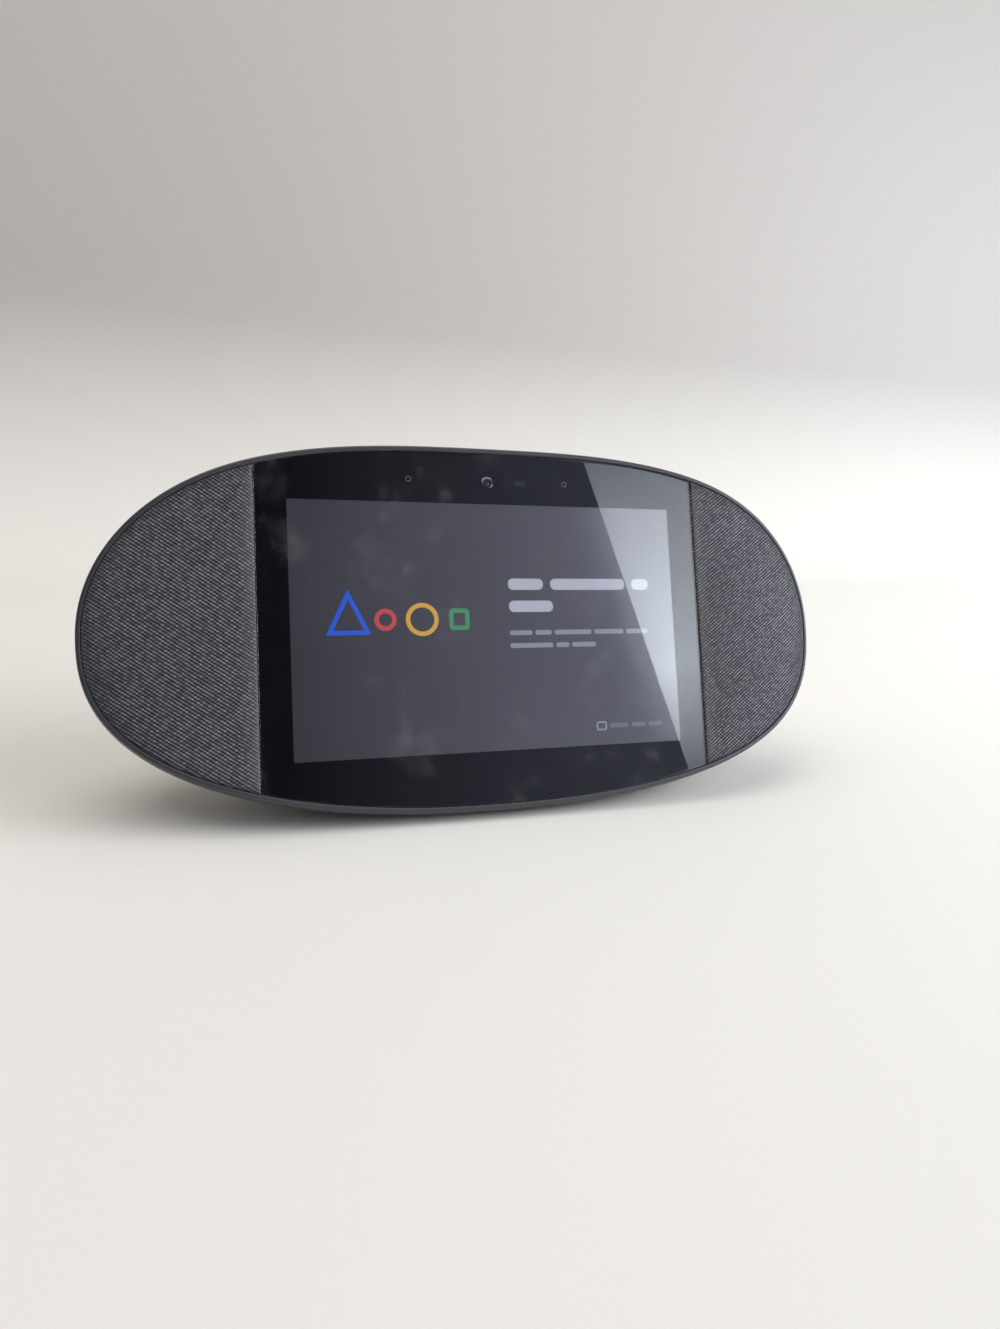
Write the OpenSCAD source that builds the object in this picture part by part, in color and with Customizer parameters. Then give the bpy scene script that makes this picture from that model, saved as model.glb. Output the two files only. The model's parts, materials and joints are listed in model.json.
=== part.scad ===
// Smart display: a tilted oval face with a flat screen between two fabric-covered speaker
// wings, a domed rear shell with a passive radiator, and a rubber foot under the belly.
//
// Face frame, used by everything behind the screen: x to the right, y up the face, z out of
// the glass, with the origin at the centre of the glass's front surface. Depths are -z.
// Rear frame, used by what faces straight back: same origin, axes upright.

/* [Body] */
// Half of the width of the bezel's front lip
lip_half_w = 166.8; // [160:0.1:170]
// Half of the height of the bezel's front lip
lip_half_h = 78.1; // [77:0.1:80]
// Lean of the face back from vertical, in degrees
lean = 20; // [18:0.5:22]
// Height of the glass's centre above the table
face_z = 78.5; // [78.5:0.1:80]
// Distance from the glass's centre to the rearmost point, level
rear_reach = 72.9; // [72:0.1:78]
// Wall thickness of the rear shell
shell_wall = 2.4; // [2:0.1:2.6]

/* [Display] */
// Width of the cover glass
glass_w = 197.4; // [196:0.1:198]
// Thickness of the cover glass
glass_t = 1.1; // [0.9:0.1:1.2]
// Width of the lit picture area
active_w = 172.2; // [170:0.1:173]
// Height of the lit picture area
active_h = 107.6; // [106:0.1:108]

/* [Wings] */
// Radius with which each wing sweeps back from the screen
wing_r = 193; // [185:1:210]
// Thickness of the fabric skin
fabric_t = 1; // [0.8:0.1:1]
// Pitch of the grille's hexagonal holes
grille_pitch = 5.6; // [5.4:0.1:6.5]

/* [Speakers] */
// Distance of each driver's axis from the middle
driver_x = 131; // [130:0.5:132]
// Outward tilt of each driver, in degrees
driver_tilt = 9; // [8:0.5:10]
// Outer radius of the driver's flange
flange_r = 30.5; // [30:0.1:31]

/* [Rear radiator] */
// Half of the length of the radiator's opening
rad_half_l = 58; // [56:0.5:60]
// Half of the height of the radiator's opening
rad_half_h = 27; // [26:0.5:28]

/* [Controls] */
// Distance of each volume button from the middle
volume_x = 20; // [19:0.5:21]
// Place of the microphone switch, from the middle
mute_x = 47; // [46:0.5:48]
// Travel of the camera shutter
shutter_travel = 8; // [7.5:0.1:8]

/* [Base] */
// Half of the length of the rubber foot
foot_half_l = 66; // [60:1:67]
// Half of the depth of the rubber foot
foot_half_d = 26; // [24:0.5:26.5]
// Height of the foot, from the table to the shell
foot_t = 1.4; // [1.2:0.1:1.5]

/* [Power inlet] */
// Radius of the barrel jack's bore
jack_bore_r = 2.75; // [2.5:0.05:3]
// Length of the barrel jack's bore
jack_bore_l = 9.5; // [9:0.1:10]

/* [Hidden] */

fit_gap = 0.2;
run_gap = 0.3;
eps = 0.05;
reach = 200;
$fn = 48;

// Outline of the face: an oval that is fuller than an ellipse, with wide shoulders above its
// widest line and fuller cheeks below it
oval_p = 3.05;
oval_q = 1.98;
low_p = 2.27;
low_q = 2.48;
oval_steps = 96;

// Front stack, as depths behind the glass's front surface
wing_start = glass_w / 2 + 0.3;
lip_proud = 0.4;
lip_w = 1.9;
gasket_t = 0.8;
rim_front = glass_t + gasket_t;
panel_w = active_w + 6.4;
panel_h = active_h + 6.4;
panel_t = 1.4;
backlight_w = 183;
backlight_h = 119;
backlight_t = 2;
deck_front = glass_t + panel_t + backlight_t + 0.5;
deck_t = 2.6;
deck_back = deck_front + deck_t;
ledge_t = 1.4;
ledge_w = 3.6;
ring_back = 8;
shell_front = ring_back + gasket_t;
window_w = backlight_w + 1;
window_h = backlight_h + 1;
fabric_proud = 0.3;
grille_front = fabric_t - fabric_proud;
grille_t = 1.6;
wing_steps = 14;

// Rear shell: rings that fan from the leaning face to an upright back
flare = 1.9;
flare_x = 0.6;
shell_half_w = lip_half_w + flare * flare_x;
shell_half_h = lip_half_h + flare;
back_drop = 5;
side_fullness = 2.4;
top_fullness = 2.4;
bottom_fullness = 3;
dome_rings = 16;
last_ring_angle = 87;
face_y = (lip_half_h * sin(lean) + lip_proud * cos(lean) - rear_reach) / 2;
floor_top = 4;

// Camera row above the picture
camera_y = 63.9;
mic_x = 35.4;
sensor_x = 14.3;
camera_w = 6.4;
shutter_front = 1.5;
blade_t = 0.6;
shutter_rest_x = -8.75;
riser_depth = 12.2;
knob_tau = 0.1;

// Drivers, in their own frames: z = 0 at the flange's front, z outward
driver_depth = 12.5;
cone_r = 20.3;
coil_r = 8.3;
roll_r = 2;
opening_r = 25.8;
pad_r = flange_r + 1.5;
magnet_r = 16;
basket_back = -14;
plate_t = 1.6;
pole_front = basket_back - plate_t;

// Rear radiator, in its own frame: z = 0 at the seat inside the shell, z backward
rad_seat = 65;
rad_drop = 0;
rad_roll_r = 3.25;
diaphragm_half_l = 46.5;
diaphragm_half_h = 15.5;

// Controls on top, in a frame that lies on the shell's surface
top_tau = 0.37;
wall_gap = shell_wall + 0.5;
button_l = 17;
button_w = 6.4;
button_proud = 0.5;
dome_top = 5.9;
board_top = 7.4;
board_t = 1.2;
mute_fall = top_fall(mute_x);

// Power inlet, in the rear frame
jack_x = -34;
jack_z = -52;
jack_floor = 56;
pocket_r = 7;

// Colours
charcoal = [0.13, 0.13, 0.14];
bezel_grey = [0.27, 0.28, 0.3];
shell_grey = [0.2, 0.2, 0.21];
board_green = [0.08, 0.3, 0.18];
steel = [0.66, 0.66, 0.68];
rubber_black = [0.05, 0.05, 0.05];

// ---------------------------------------------------------------- outlines and frames

function signed_pow(v, e) = sign(v) * pow(abs(v), e);
function superellipse(angle, half_w, half_h) =
    [half_w * signed_pow(cos(angle), 2 / oval_p), half_h * signed_pow(sin(angle), 2 / oval_q)];
function low_height(share) = pow(max(0, 1 - pow(share, low_p)), 1 / low_q);

// Points below the widest line stand straight under their mirrored points above it
function oval_point(angle, half_w, half_h) =
    let (above = superellipse(angle, half_w, half_h))
    sin(angle) >= 0 ? above : [above[0], -half_h * low_height(abs(above[0] / half_w))];
function step_angle(i) = i * 360 / oval_steps;
function oval(inset) = [
    for (i = [0 : oval_steps - 1]) oval_point(step_angle(i), lip_half_w - inset, lip_half_h - inset)
];
function arc_point(radius, angle) = [radius * cos(angle), radius * sin(angle)];
function racetrack(half_l, half_h, steps = 12) = [
    for (side = [0, 1], i = [0 : steps])
        [(side == 0 ? 1 : -1) * (half_l - half_h), 0]
            + arc_point(half_h, -90 + 180 * side + i * 180 / steps)
];

// How far the wings have swept back at x
function sweep(x) = wing_r - sqrt(pow(wing_r, 2) - pow(max(0, abs(x) - wing_start), 2));
function wing_x(i) = wing_start + i * (lip_half_w + 4 - wing_start) / wing_steps;
slab_xs = concat([for (i = [wing_steps : -1 : 0]) -wing_x(i)], [for (i = [0 : wing_steps]) wing_x(i)]);
slab_last = len(slab_xs) - 1;

module face_place() {
    translate([0, face_y, face_z]) rotate([90 - lean, 0, 0]) children();
}

module rear_place(x = 0, z = 0) {
    translate([x, face_y, face_z + z]) rotate([-90, 0, 0]) children();
}

module driver_place(side) {
    face_place() translate([side * driver_x, 0, -driver_depth]) rotate([0, side * driver_tilt, 0]) children();
}

// Everything between two depths, following the sweep of the wings
module slab(front, back) {
    outline = concat(
        [for (x = slab_xs) [x, -front - sweep(x)]],
        [for (i = [slab_last : -1 : 0]) [slab_xs[i], -back - sweep(slab_xs[i])]]
    );
    rotate([90, 0, 0]) linear_extrude(2 * reach, center = true) polygon(outline);
}

module oval_plate(inset, front, back) {
    intersection() {
        slab(front, back);
        translate([0, 0, -reach / 2]) linear_extrude(reach) polygon(oval(inset));
    }
}

module box(width, height, front, back) {
    translate([-width / 2, -height / 2, -back]) cube([width, height, back - front]);
}

module wing_side(side, inner = wing_start + 0.15) {
    translate([side > 0 ? inner : -inner - reach, -reach / 2, -reach / 2]) cube(reach);
}

module tube(outer_r, inner_r, low, high) {
    translate([0, 0, low]) difference() {
        cylinder(r = outer_r, h = high - low);
        translate([0, 0, -1]) cylinder(r = inner_r, h = high - low + 2);
    }
}

module track(half_l, half_h, low, high) {
    translate([0, 0, low]) linear_extrude(high - low) polygon(racetrack(half_l, half_h));
}

// Triangles of a closed band: count sections of n points each
function band_faces(count, n, flip) = [
    for (i = [0 : count - 1], j = [0 : n - 1])
        let (k = (i + 1) % count, m = (j + 1) % n, a = i * n + j, b = i * n + m, c = k * n + m, d = k * n + j)
        each flip ? [[a, c, b], [a, d, c]] : [[a, b, c], [a, c, d]]
];

// A band whose section is a list of [outward offset, depth], swept round the oval
module oval_band(section) {
    n = len(section);
    points = [
        for (i = [0 : oval_steps - 1], p = section)
            let (out = p[0] > 0 ? flare_x * p[0] : p[0],
                 v = oval_point(step_angle(i), lip_half_w + out, lip_half_h + p[0]))
            [v[0], v[1], -p[1] - sweep(v[0])]
    ];
    polyhedron(points, band_faces(oval_steps, n, true));
}

// ---------------------------------------------------------------- rear dome

function fullness(tau, power) = pow(max(0, 1 - pow(tau, power)), 1 / power);
function ring_tilt(tau) = lean * (1 - tau);
function ring_centre(tau, shrink) = let (front = shell_front * [cos(lean), -sin(lean)])
    front + tau * ([rear_reach - shrink, -back_drop] - front);

function dome_point(angle, tau, shrink, lead) =
    let (half_h = (shell_half_h - shrink) * fullness(tau, sin(angle) >= 0 ? top_fullness : bottom_fullness),
         v = oval_point(angle, (shell_half_w - shrink) * fullness(tau, side_fullness), half_h),
         tilt = ring_tilt(tau),
         back = sweep(v[0]) - lead,
         centre = ring_centre(tau, shrink))
    [v[0], centre[0] + v[1] * sin(tilt) + back * cos(tilt), centre[1] + v[1] * cos(tilt) - back * sin(tilt)];

function dome_taus(lead) = concat(
    lead > 0 ? [[0, lead]] : [],
    [for (k = [0 : dome_rings]) [pow(sin(k * last_ring_angle / dome_rings), 2 / side_fullness), 0]]
);

// Solid dome behind the parting line; lead carries its front forward, for a clean cut
module dome(shrink, lead) {
    rings = dome_taus(lead);
    n = oval_steps;
    last = len(rings) - 1;
    points = [for (r = rings, i = [0 : n - 1]) dome_point(step_angle(i), r[0], shrink, r[1])];
    walls = [
        for (r = [0 : last - 1], i = [0 : n - 1])
            let (a = r * n + i, b = r * n + (i + 1) % n)
            each [[a, b, b + n], [a, b + n, a + n]]
    ];
    caps = [
        for (i = [0 : n / 2 - 1])
            let (a = i, b = i + 1, c = n - 1 - i, d = (n - i) % n)
            each [
                i == n / 2 - 1 ? [a, d, b] : [a, c, b],
                if (i > 0 && i < n / 2 - 1) [a, d, c],
                i == n / 2 - 1 ? [last * n + a, last * n + b, last * n + d]
                    : [last * n + a, last * n + b, last * n + c],
                if (i > 0 && i < n / 2 - 1) [last * n + a, last * n + c, last * n + d]
            ]
    ];
    translate([0, face_y, face_z]) polyhedron(points, concat(walls, caps));
}

module above(height) {
    translate([-reach, -reach, height]) cube([2 * reach, 2 * reach, reach]);
}

// A frame on the dome's top centre line: z out of the shell, y backward along it
function top_line(tau) = let (p = dome_point(90, tau, 0, 0)) [p[1], p[2]];
function top_slope(tau) = let (step = top_line(tau + 0.02) - top_line(tau - 0.02)) atan2(step[1], step[0]);

// How far the shell has fallen at x, from its height in the middle
function top_fall(x) =
    let (share = abs(x) / (shell_half_w * fullness(top_tau, side_fullness)))
    shell_half_h * fullness(top_tau, top_fullness) * (1 - pow(1 - pow(share, oval_p), 1 / oval_q));

module top_place(x = 0, tau = top_tau) {
    translate([x, face_y + top_line(tau)[0], face_z + top_line(tau)[1]])
        rotate([top_slope(tau), 0, 0]) children();
}

// ---------------------------------------------------------------- screws

module screw(head_r, head_t, shank_r, shank_l) {
    difference() {
        union() {
            cylinder(r = head_r, h = head_t, $fn = 32);
            translate([0, 0, -shank_l]) cylinder(r = shank_r, h = shank_l, $fn = 32);
        }
        for (turn = [0, 90])
            rotate([0, 0, turn]) translate([-head_r * 0.6, -0.25, head_t * 0.4]) cube([head_r * 1.2, 0.5, head_t]);
    }
}

// Eight long screws hold the front frame and bezel to the rear shell's bosses
frame_screw_at = [for (side = [-1, 1], end = [-1, 1], p = [[106, 50], [46, 68.5]]) [side * p[0], end * p[1]]];
frame_boss_r = 3.6;
frame_shank_r = 1.4;

// ---------------------------------------------------------------- front

module bezel_ring() color(bezel_grey) face_place() oval_band([
    [-lip_w, 0.2], [-1.5, -lip_proud], [-0.5, -lip_proud], [0.1, -0.05], [0.6, 0.9], [1.15, 2.6],
    [1.6, 4.6], [1.85, 6.6], [flare, ring_back], [-1.7, ring_back], [-1.7, deck_back + ledge_t],
    [-ledge_w, deck_back + ledge_t], [-ledge_w, deck_back], [-lip_w, deck_back]
]);

module cover_glass() color([0.05, 0.05, 0.06]) face_place() difference() {
    intersection() {
        oval_plate(lip_w + fit_gap, 0, glass_t);
        box(glass_w, reach, -1, glass_t + 1);
    }
    for (side = [-1, 1])
        translate([side * mic_x, camera_y, -glass_t - 1]) cylinder(r = 0.5, h = glass_t + 2, $fn = 24);
}

module shutter_channel(front, back) {
    translate([shutter_rest_x - 4.1, camera_y - 5, -back]) cube([shutter_travel + 8.2, 11.2, back - front]);
}

module glass_gasket() color(rubber_black) face_place() difference() {
    intersection() {
        oval_plate(lip_w + 0.5, glass_t, rim_front);
        box(glass_w - 0.6, reach, glass_t, rim_front);
    }
    box(window_w + 4, window_h + 1, 0, 4);
    shutter_channel(0, 4);
    for (side = [-1, 1]) translate([side * mic_x, camera_y, -4]) cylinder(r = 1, h = 4, $fn = 24);
    translate([sensor_x - 3, camera_y - 2, -4]) cube([6, 4, 4]);
}

module display_panel() color([0.1, 0.1, 0.12]) face_place()
    box(panel_w, panel_h, glass_t, glass_t + panel_t);

module backlight_unit() color(steel) face_place() difference() {
    box(backlight_w, backlight_h, glass_t + panel_t, glass_t + panel_t + backlight_t);
    for (side = [-1, 1])
        translate([side * 60, -backlight_h / 2, -deck_front]) cube([14, 3, backlight_t + 1], center = true);
}

module front_frame() color(charcoal) difference() {
    union() {
        face_place() difference() {
            union() {
                oval_plate(lip_w + fit_gap, deck_front, deck_back);
                intersection() {
                    oval_plate(lip_w + fit_gap, rim_front, deck_front + 1);
                    box(glass_w - 0.4, reach, 0, deck_front + 1);
                }
            }
            box(window_w, window_h, 0, deck_front);
            box(60, 70, 0, deck_back + 1);
        }
        for (side = [-1, 1]) driver_place(side) translate([0, 0, 0.8]) cylinder(r = pad_r, h = 1);
        face_place() for (x = [-52, 52], y = [-40, 40]) translate([x, y, -12]) cylinder(r = 2.6, h = 12 - deck_back);
    }
    for (side = [-1, 1]) driver_place(side) {
        translate([0, 0, -2]) cylinder(r = opening_r, h = 24);
        translate([0, 0, -20]) cylinder(r = pad_r + 0.5, h = 20.8);
        driver_screw_spots() cylinder(r = 1.05, h = 5, center = true, $fn = 24);
    }
    face_place() {
        shutter_channel(0, camera_y - 61);
        translate([shutter_rest_x - 2.1, camera_y + 3.8, -12]) cube([shutter_travel + 4.2, 2.6, 12]);
        translate([-camera_w / 2 - fit_gap, camera_y - camera_w / 2 - fit_gap, -12])
            cube([camera_w + 2 * fit_gap, camera_w + 2 * fit_gap, 12]);
        for (side = [-1, 1]) {
            translate([side * mic_x - 2.2, camera_y - 1.7, -12]) cube([4.4, 3.4, 12]);
        }
        translate([sensor_x - 3, camera_y - 2, -12]) cube([6, 4, 12]);
        for (p = frame_screw_at) {
            translate([p[0], p[1], -30]) cylinder(r = frame_shank_r + 0.2, h = 30, $fn = 24);
            translate([p[0], p[1], -deck_front - sweep(p[0])]) cylinder(r = 2.7, h = 10, $fn = 24);
        }
        for (x = [-52, 52], y = [-40, 40]) translate([x, y, -13]) cylinder(r = 1.05, h = 5, $fn = 24);
    }
}

module camera_module() color([0.12, 0.12, 0.12]) face_place() difference() {
    translate([0, camera_y, 0]) union() {
        box(camera_w, camera_w, 3.6, 8.2);
        translate([0, 0, -3.6]) cylinder(r = 2.7, h = 0.8);
    }
    translate([0, camera_y, -4.6]) cylinder(r = 1.8, h = 3);
}

module camera_lens() color([0.1, 0.12, 0.2]) face_place() translate([0, camera_y, -4.6]) intersection() {
    cylinder(r = 1.8, h = 1.9);
    translate([0, 0, -2.6]) sphere(r = 4);
}

module light_sensor() color([0.35, 0.35, 0.3]) face_place() translate([sensor_x, camera_y, 0]) {
    box(5.4, 3.2, glass_t, 6);
}

module microphone(side) color([0.75, 0.68, 0.45]) face_place() translate([side * mic_x, camera_y, 0]) difference() {
    box(4, 3, rim_front, 4.4);
    translate([0, 0, -3.4]) cylinder(r = 0.5, h = 2, $fn = 24);
}

// Blade in front of the lens, with an arm back through the frame and a riser to the top
module shutter_blade() color(charcoal) face_place() {
    translate([shutter_rest_x, camera_y, 0]) {
        translate([-3.75, -4.4, -shutter_front - blade_t]) cube([7.5, 10, blade_t]);
        translate([-1.5, 4.1, -riser_depth - 0.6]) cube([3, 1.5, riser_depth + 0.6 - shutter_front]);
        translate([-1.5, 4.1, -riser_depth - 0.6]) cube([3, shell_half_h + 0.7 - camera_y - 4.1, 1.2]);
    }
}

module shutter_knob() color(bezel_grey) top_place(shutter_rest_x, knob_tau) difference() {
    track(6, 2.1, -0.3, 0.6);
    for (x = [-2.4 : 1.2 : 2.4]) translate([x, 0, 0.6]) cube([0.4, 3, 0.6], center = true);
}

// ---------------------------------------------------------------- wings

module fabric(side) color(charcoal) face_place() intersection() {
    oval_plate(lip_w + fit_gap, -fabric_proud, grille_front);
    wing_side(side);
}

module grille_holes(side) {
    rows = 11;
    for (row = [-rows : rows], column = [0 : 10]) {
        x = wing_start + 6 + (column + (row % 2 == 0 ? 0 : 0.5)) * grille_pitch;
        y = row * grille_pitch * 0.87;
        across = x / (lip_half_w - 6.5);
        along = abs(y) / (lip_half_h - 6.5);
        inside = y < 0 ? pow(across, low_p) + pow(along, low_q) : pow(across, oval_p) + pow(along, oval_q);
        if (inside < 1)
            translate([side * x, y, -reach / 4]) cylinder(r = grille_pitch * 0.38, h = reach / 4 + 5, $fn = 6);
    }
}

module grille(side) color([0.09, 0.09, 0.1]) face_place() difference() {
    intersection() {
        oval_plate(lip_w + fit_gap, grille_front, deck_front);
        wing_side(side);
    }
    intersection() {
        oval_plate(lip_w + 2, grille_front + grille_t, deck_front + 1);
        wing_side(side, wing_start + 2);
    }
    grille_holes(side);
}

// ---------------------------------------------------------------- drivers

module driver_screw_spots() {
    for (turn = [45 : 90 : 315]) rotate([0, 0, turn]) translate([28.2, 0, 0]) children();
}

module basket(side) color([0.15, 0.15, 0.16]) driver_place(side) difference() {
    rotate_extrude() polygon([
        [22.8, 0], [flange_r, 0], [flange_r, -plate_t], [25.4, -plate_t], [15.6, basket_back],
        [15.6, pole_front], [9.2, pole_front], [9.2, basket_back], [14, basket_back], [22.8, -2.6]
    ]);
    for (turn = [0 : 60 : 300])
        rotate([0, 0, turn]) translate([12, -4, basket_back + 3.5]) cube([14, 8, 6.5]);
    driver_screw_spots() cylinder(r = 1.15, h = 8, center = true, $fn = 24);
}

module magnet(side) color([0.2, 0.2, 0.21]) driver_place(side)
    tube(magnet_r, 10, pole_front - 11, pole_front - 3);

module yoke(side) color(steel) driver_place(side) {
    tube(magnet_r - 0.4, 9.2, pole_front - 3, pole_front);
    translate([0, 0, pole_front - 14]) cylinder(r = magnet_r - 0.4, h = 3);
    translate([0, 0, pole_front - 11 - eps]) cylinder(r = 7.5, h = 11 + eps);
}

module cone(side) color([0.1, 0.1, 0.1]) driver_place(side) rotate_extrude() polygon([
    [0, -6.6], [3, -6.8], [6, -7.6], [coil_r + 0.3, -9.2], [cone_r - 0.3, 0], [cone_r, 0], [cone_r, 0.6],
    [cone_r - 0.7, 0.6], [coil_r + 0.2, -8.1], [6, -6.8], [3, -6], [0, -5.8]
]);

module voice_coil(side) color([0.72, 0.4, 0.2]) driver_place(side)
    tube(coil_r + 0.3, coil_r - 0.2, pole_front - 3.5, -9.2);

module surround(side) color(rubber_black) driver_place(side) rotate_extrude() difference() {
    union() {
        translate([cone_r + roll_r + 0.2, 0.6]) circle(r = roll_r);
        translate([cone_r - 0.6, 0.6]) square([5.6, 0.5]);
    }
    translate([cone_r + roll_r + 0.2, 0.6]) circle(r = roll_r - 0.5);
    translate([cone_r - 2, -4]) square([10, 4.6]);
}

module spider(side) color([0.7, 0.55, 0.25]) driver_place(side) tube(13.6, coil_r + 0.3, -12, -11.5);

module driver_gasket(side) color(rubber_black) driver_place(side) difference() {
    tube(flange_r - 0.2, opening_r - 0.2, 0, 0.8);
    driver_screw_spots() cylinder(r = 1.2, h = 4, center = true, $fn = 24);
}

// ---------------------------------------------------------------- rear shell and radiator

module seam_gasket() color(rubber_black) face_place() oval_band([
    [-0.4, ring_back + eps], [1, ring_back + eps], [1, shell_front - eps], [-0.4, shell_front - eps]
]);

module shell_bosses() {
    face_place() for (p = frame_screw_at)
        translate([p[0], p[1], -reach - deck_back - sweep(p[0])]) cylinder(r = frame_boss_r, h = reach);
    rear_place(z = rad_drop) {
        track(rad_half_l + 9, rad_half_h + 9, rad_seat, reach);
    }
    rear_place(jack_x, jack_z) translate([0, 0, jack_floor - 2.5]) cylinder(r = pocket_r + 2.2, h = 40);
    for (p = power_post_at) translate([p[0], face_y + p[1], 0]) cylinder(r = 2.6, h = power_board_z);
    for (x = key_post_at) top_place(x) translate([0, 0, -board_top]) cylinder(r = 2.4, h = 20);
}

module rear_shell() color(shell_grey) difference() {
    intersection() {
        dome(0, 0);
        above(foot_t);
    }
    difference() {
        intersection() {
            dome(shell_wall, 1);
            above(floor_top);
        }
        shell_bosses();
    }
    rear_place(z = rad_drop) {
        track(rad_half_l, rad_half_h, rad_seat - 5, reach);
        radiator_screw_spots() translate([0, 0, rad_seat - 1]) cylinder(r = 1.05, h = 4, $fn = 24);
    }
    rear_place(jack_x, jack_z) {
        translate([0, 0, jack_floor]) cylinder(r = pocket_r, h = 40);
        translate([0, 0, jack_floor - 10]) cylinder(r = 4.2, h = 12);
    }
    face_place() {
        for (p = frame_screw_at)
            translate([p[0], p[1], -deck_back - sweep(p[0]) - 9]) cylinder(r = frame_shank_r + eps, h = 12, $fn = 24);
        translate([shutter_rest_x - 1.9, lip_half_h - 6, -riser_depth - 1])
            cube([shutter_travel + 3.8, 12, 2]);
    }
    top_place(shutter_rest_x + shutter_travel / 2, knob_tau)
        track(6 + shutter_travel / 2 + run_gap, 2.1 + run_gap, -0.6, 4);
    for (side = [-1, 1]) top_place(side * volume_x) {
        track(button_l / 2 + run_gap, button_w / 2 + run_gap, -shell_wall - 2, 4);
        track(button_l / 2 + 2, button_w / 2 + 1.6, -board_top, -wall_gap + run_gap);
    }
    top_place(mute_x) {
        track(7.5, 3.4, -1.2 - mute_fall, 6);
        translate([-4, -1.2, -6]) cube([8, 2.4, 12]);
    }
    for (x = key_post_at) top_place(x) translate([0, 0, -board_top - 1]) cylinder(r = 1.05, h = 5, $fn = 24);
    for (p = power_post_at) translate([p[0], face_y + p[1], power_board_z - 6]) cylinder(r = 1.05, h = 7, $fn = 24);
}

module radiator_screw_spots() {
    for (x = [-45, 0, 45], side = [-1, 1]) translate([x, side * 31, 0]) children();
}

module radiator_frame() color(charcoal) rear_place(z = rad_drop) difference() {
    union() {
        track(rad_half_l + 8, rad_half_h + 8, rad_seat - 2.6, rad_seat - 0.6);
        track(rad_half_l - 0.3, rad_half_h - 0.3, rad_seat - 1, rad_seat + 4.2);
    }
    track(rad_half_l - 4, rad_half_h - 4, rad_seat + 1, rad_seat + 10);
    track(rad_half_l - 5, rad_half_h - 5, rad_seat - 5, rad_seat + 10);
    radiator_screw_spots() translate([0, 0, rad_seat - 4]) cylinder(r = 1.3, h = 5, $fn = 24);
}

module radiator_gasket() color(rubber_black) rear_place(z = rad_drop) difference() {
    track(rad_half_l + 7.6, rad_half_h + 7.6, rad_seat - 0.6, rad_seat);
    track(rad_half_l + 0.2, rad_half_h + 0.2, rad_seat - 2, rad_seat + 2);
    radiator_screw_spots() translate([0, 0, rad_seat - 4]) cylinder(r = 1.5, h = 8, $fn = 24);
}

module radiator_diaphragm() color([0.16, 0.16, 0.17]) rear_place(z = rad_drop) {
    track(diaphragm_half_l, diaphragm_half_h, rad_seat - 0.6, rad_seat + 2);
    difference() {
        track(diaphragm_half_l - 6, diaphragm_half_h - 5, rad_seat + 2 - eps, rad_seat + 2.7);
        track(diaphragm_half_l - 7.2, diaphragm_half_h - 6.2, rad_seat, rad_seat + 5);
    }
}

module radiator_weight() color(steel) rear_place(z = rad_drop) track(30, 8, rad_seat - 2.6, rad_seat - 0.6);

// Half-roll between the diaphragm's edge and the frame's ledge
module radiator_surround() color(rubber_black) rear_place(z = rad_drop) {
    roll = [for (k = [0 : 8]) [rad_roll_r, 0] + arc_point(rad_roll_r, 180 - k * 22.5)];
    hollow = [for (k = [0 : 8]) [rad_roll_r, 0] + arc_point(rad_roll_r - 0.6, k * 22.5)];
    section = [for (p = concat(roll, hollow)) [p[0], rad_seat + 1 + p[1]]];
    n = len(section);
    path = [for (p = section) racetrack(diaphragm_half_l + p[0], diaphragm_half_h + p[0])];
    count = len(path[0]);
    points = [for (i = [0 : count - 1], j = [0 : n - 1]) [path[j][i][0], path[j][i][1], section[j][1]]];
    polyhedron(points, band_faces(count, n, true));
}

module rubber_foot() color(rubber_black) translate([0, face_y + 9, 0]) linear_extrude(foot_t) polygon([
    for (i = [0 : oval_steps - 1]) superellipse(step_angle(i), foot_half_l, foot_half_d)
]);

// ---------------------------------------------------------------- electronics

main_board_front = 12;
main_board_w = 116;
main_board_h = 90;
power_board_z = 19.4;
power_post_at = [for (x = [-58, -10], y = [19, 38]) [x, y]];
key_post_at = [-38, 34];

module main_board() color(board_green) face_place() difference() {
    box(main_board_w, main_board_h, main_board_front, main_board_front + 1.6);
    for (x = [-52, 52], y = [-40, 40]) translate([x, y, -20]) cylinder(r = 1.2, h = 20, $fn = 24);
}

module shield_can() color(steel) face_place() difference() {
    box(64, 44, main_board_front + 1.6, main_board_front + 4.2);
    box(63.2, 43.2, main_board_front + 1, main_board_front + 3.8);
}

module heat_spreader() color([0.8, 0.8, 0.82]) face_place() {
    box(90, 60, main_board_front + 4.2, main_board_front + 5.4);
    for (x = [-36 : 8 : 36]) translate([x, 0, 0]) box(1.2, 56, main_board_front + 5.4 - eps, main_board_front + 8.4);
}

module power_board() color(board_green) difference() {
    union() {
        translate([-63, face_y + 14, power_board_z]) cube([58, 38.5, 1.6]);
        translate([-52, face_y + 24, power_board_z + 1.5]) cube([9, 9, 6]);
        for (y = [22, 33]) translate([-16, face_y + y, power_board_z + 1.5]) cylinder(r = 4, h = 11);
    }
    for (p = power_post_at) translate([p[0], face_y + p[1], 0]) cylinder(r = 1.2, h = 60, $fn = 24);
}

// The jack's sleeve reaches through the pocket's floor
module dc_jack() color([0.07, 0.07, 0.07]) difference() {
    union() {
        translate([jack_x - 4.75, face_y + 40, power_board_z + 1.6])
            cube([9.5, jack_floor - 2.7 - 40, face_z + jack_z - power_board_z + 3.4]);
        rear_place(jack_x, jack_z) translate([0, 0, jack_floor - 4]) cylinder(r = 4, h = 4.3);
    }
    rear_place(jack_x, jack_z) translate([0, 0, jack_floor + 0.3 - jack_bore_l]) cylinder(r = jack_bore_r, h = 20);
}

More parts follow.
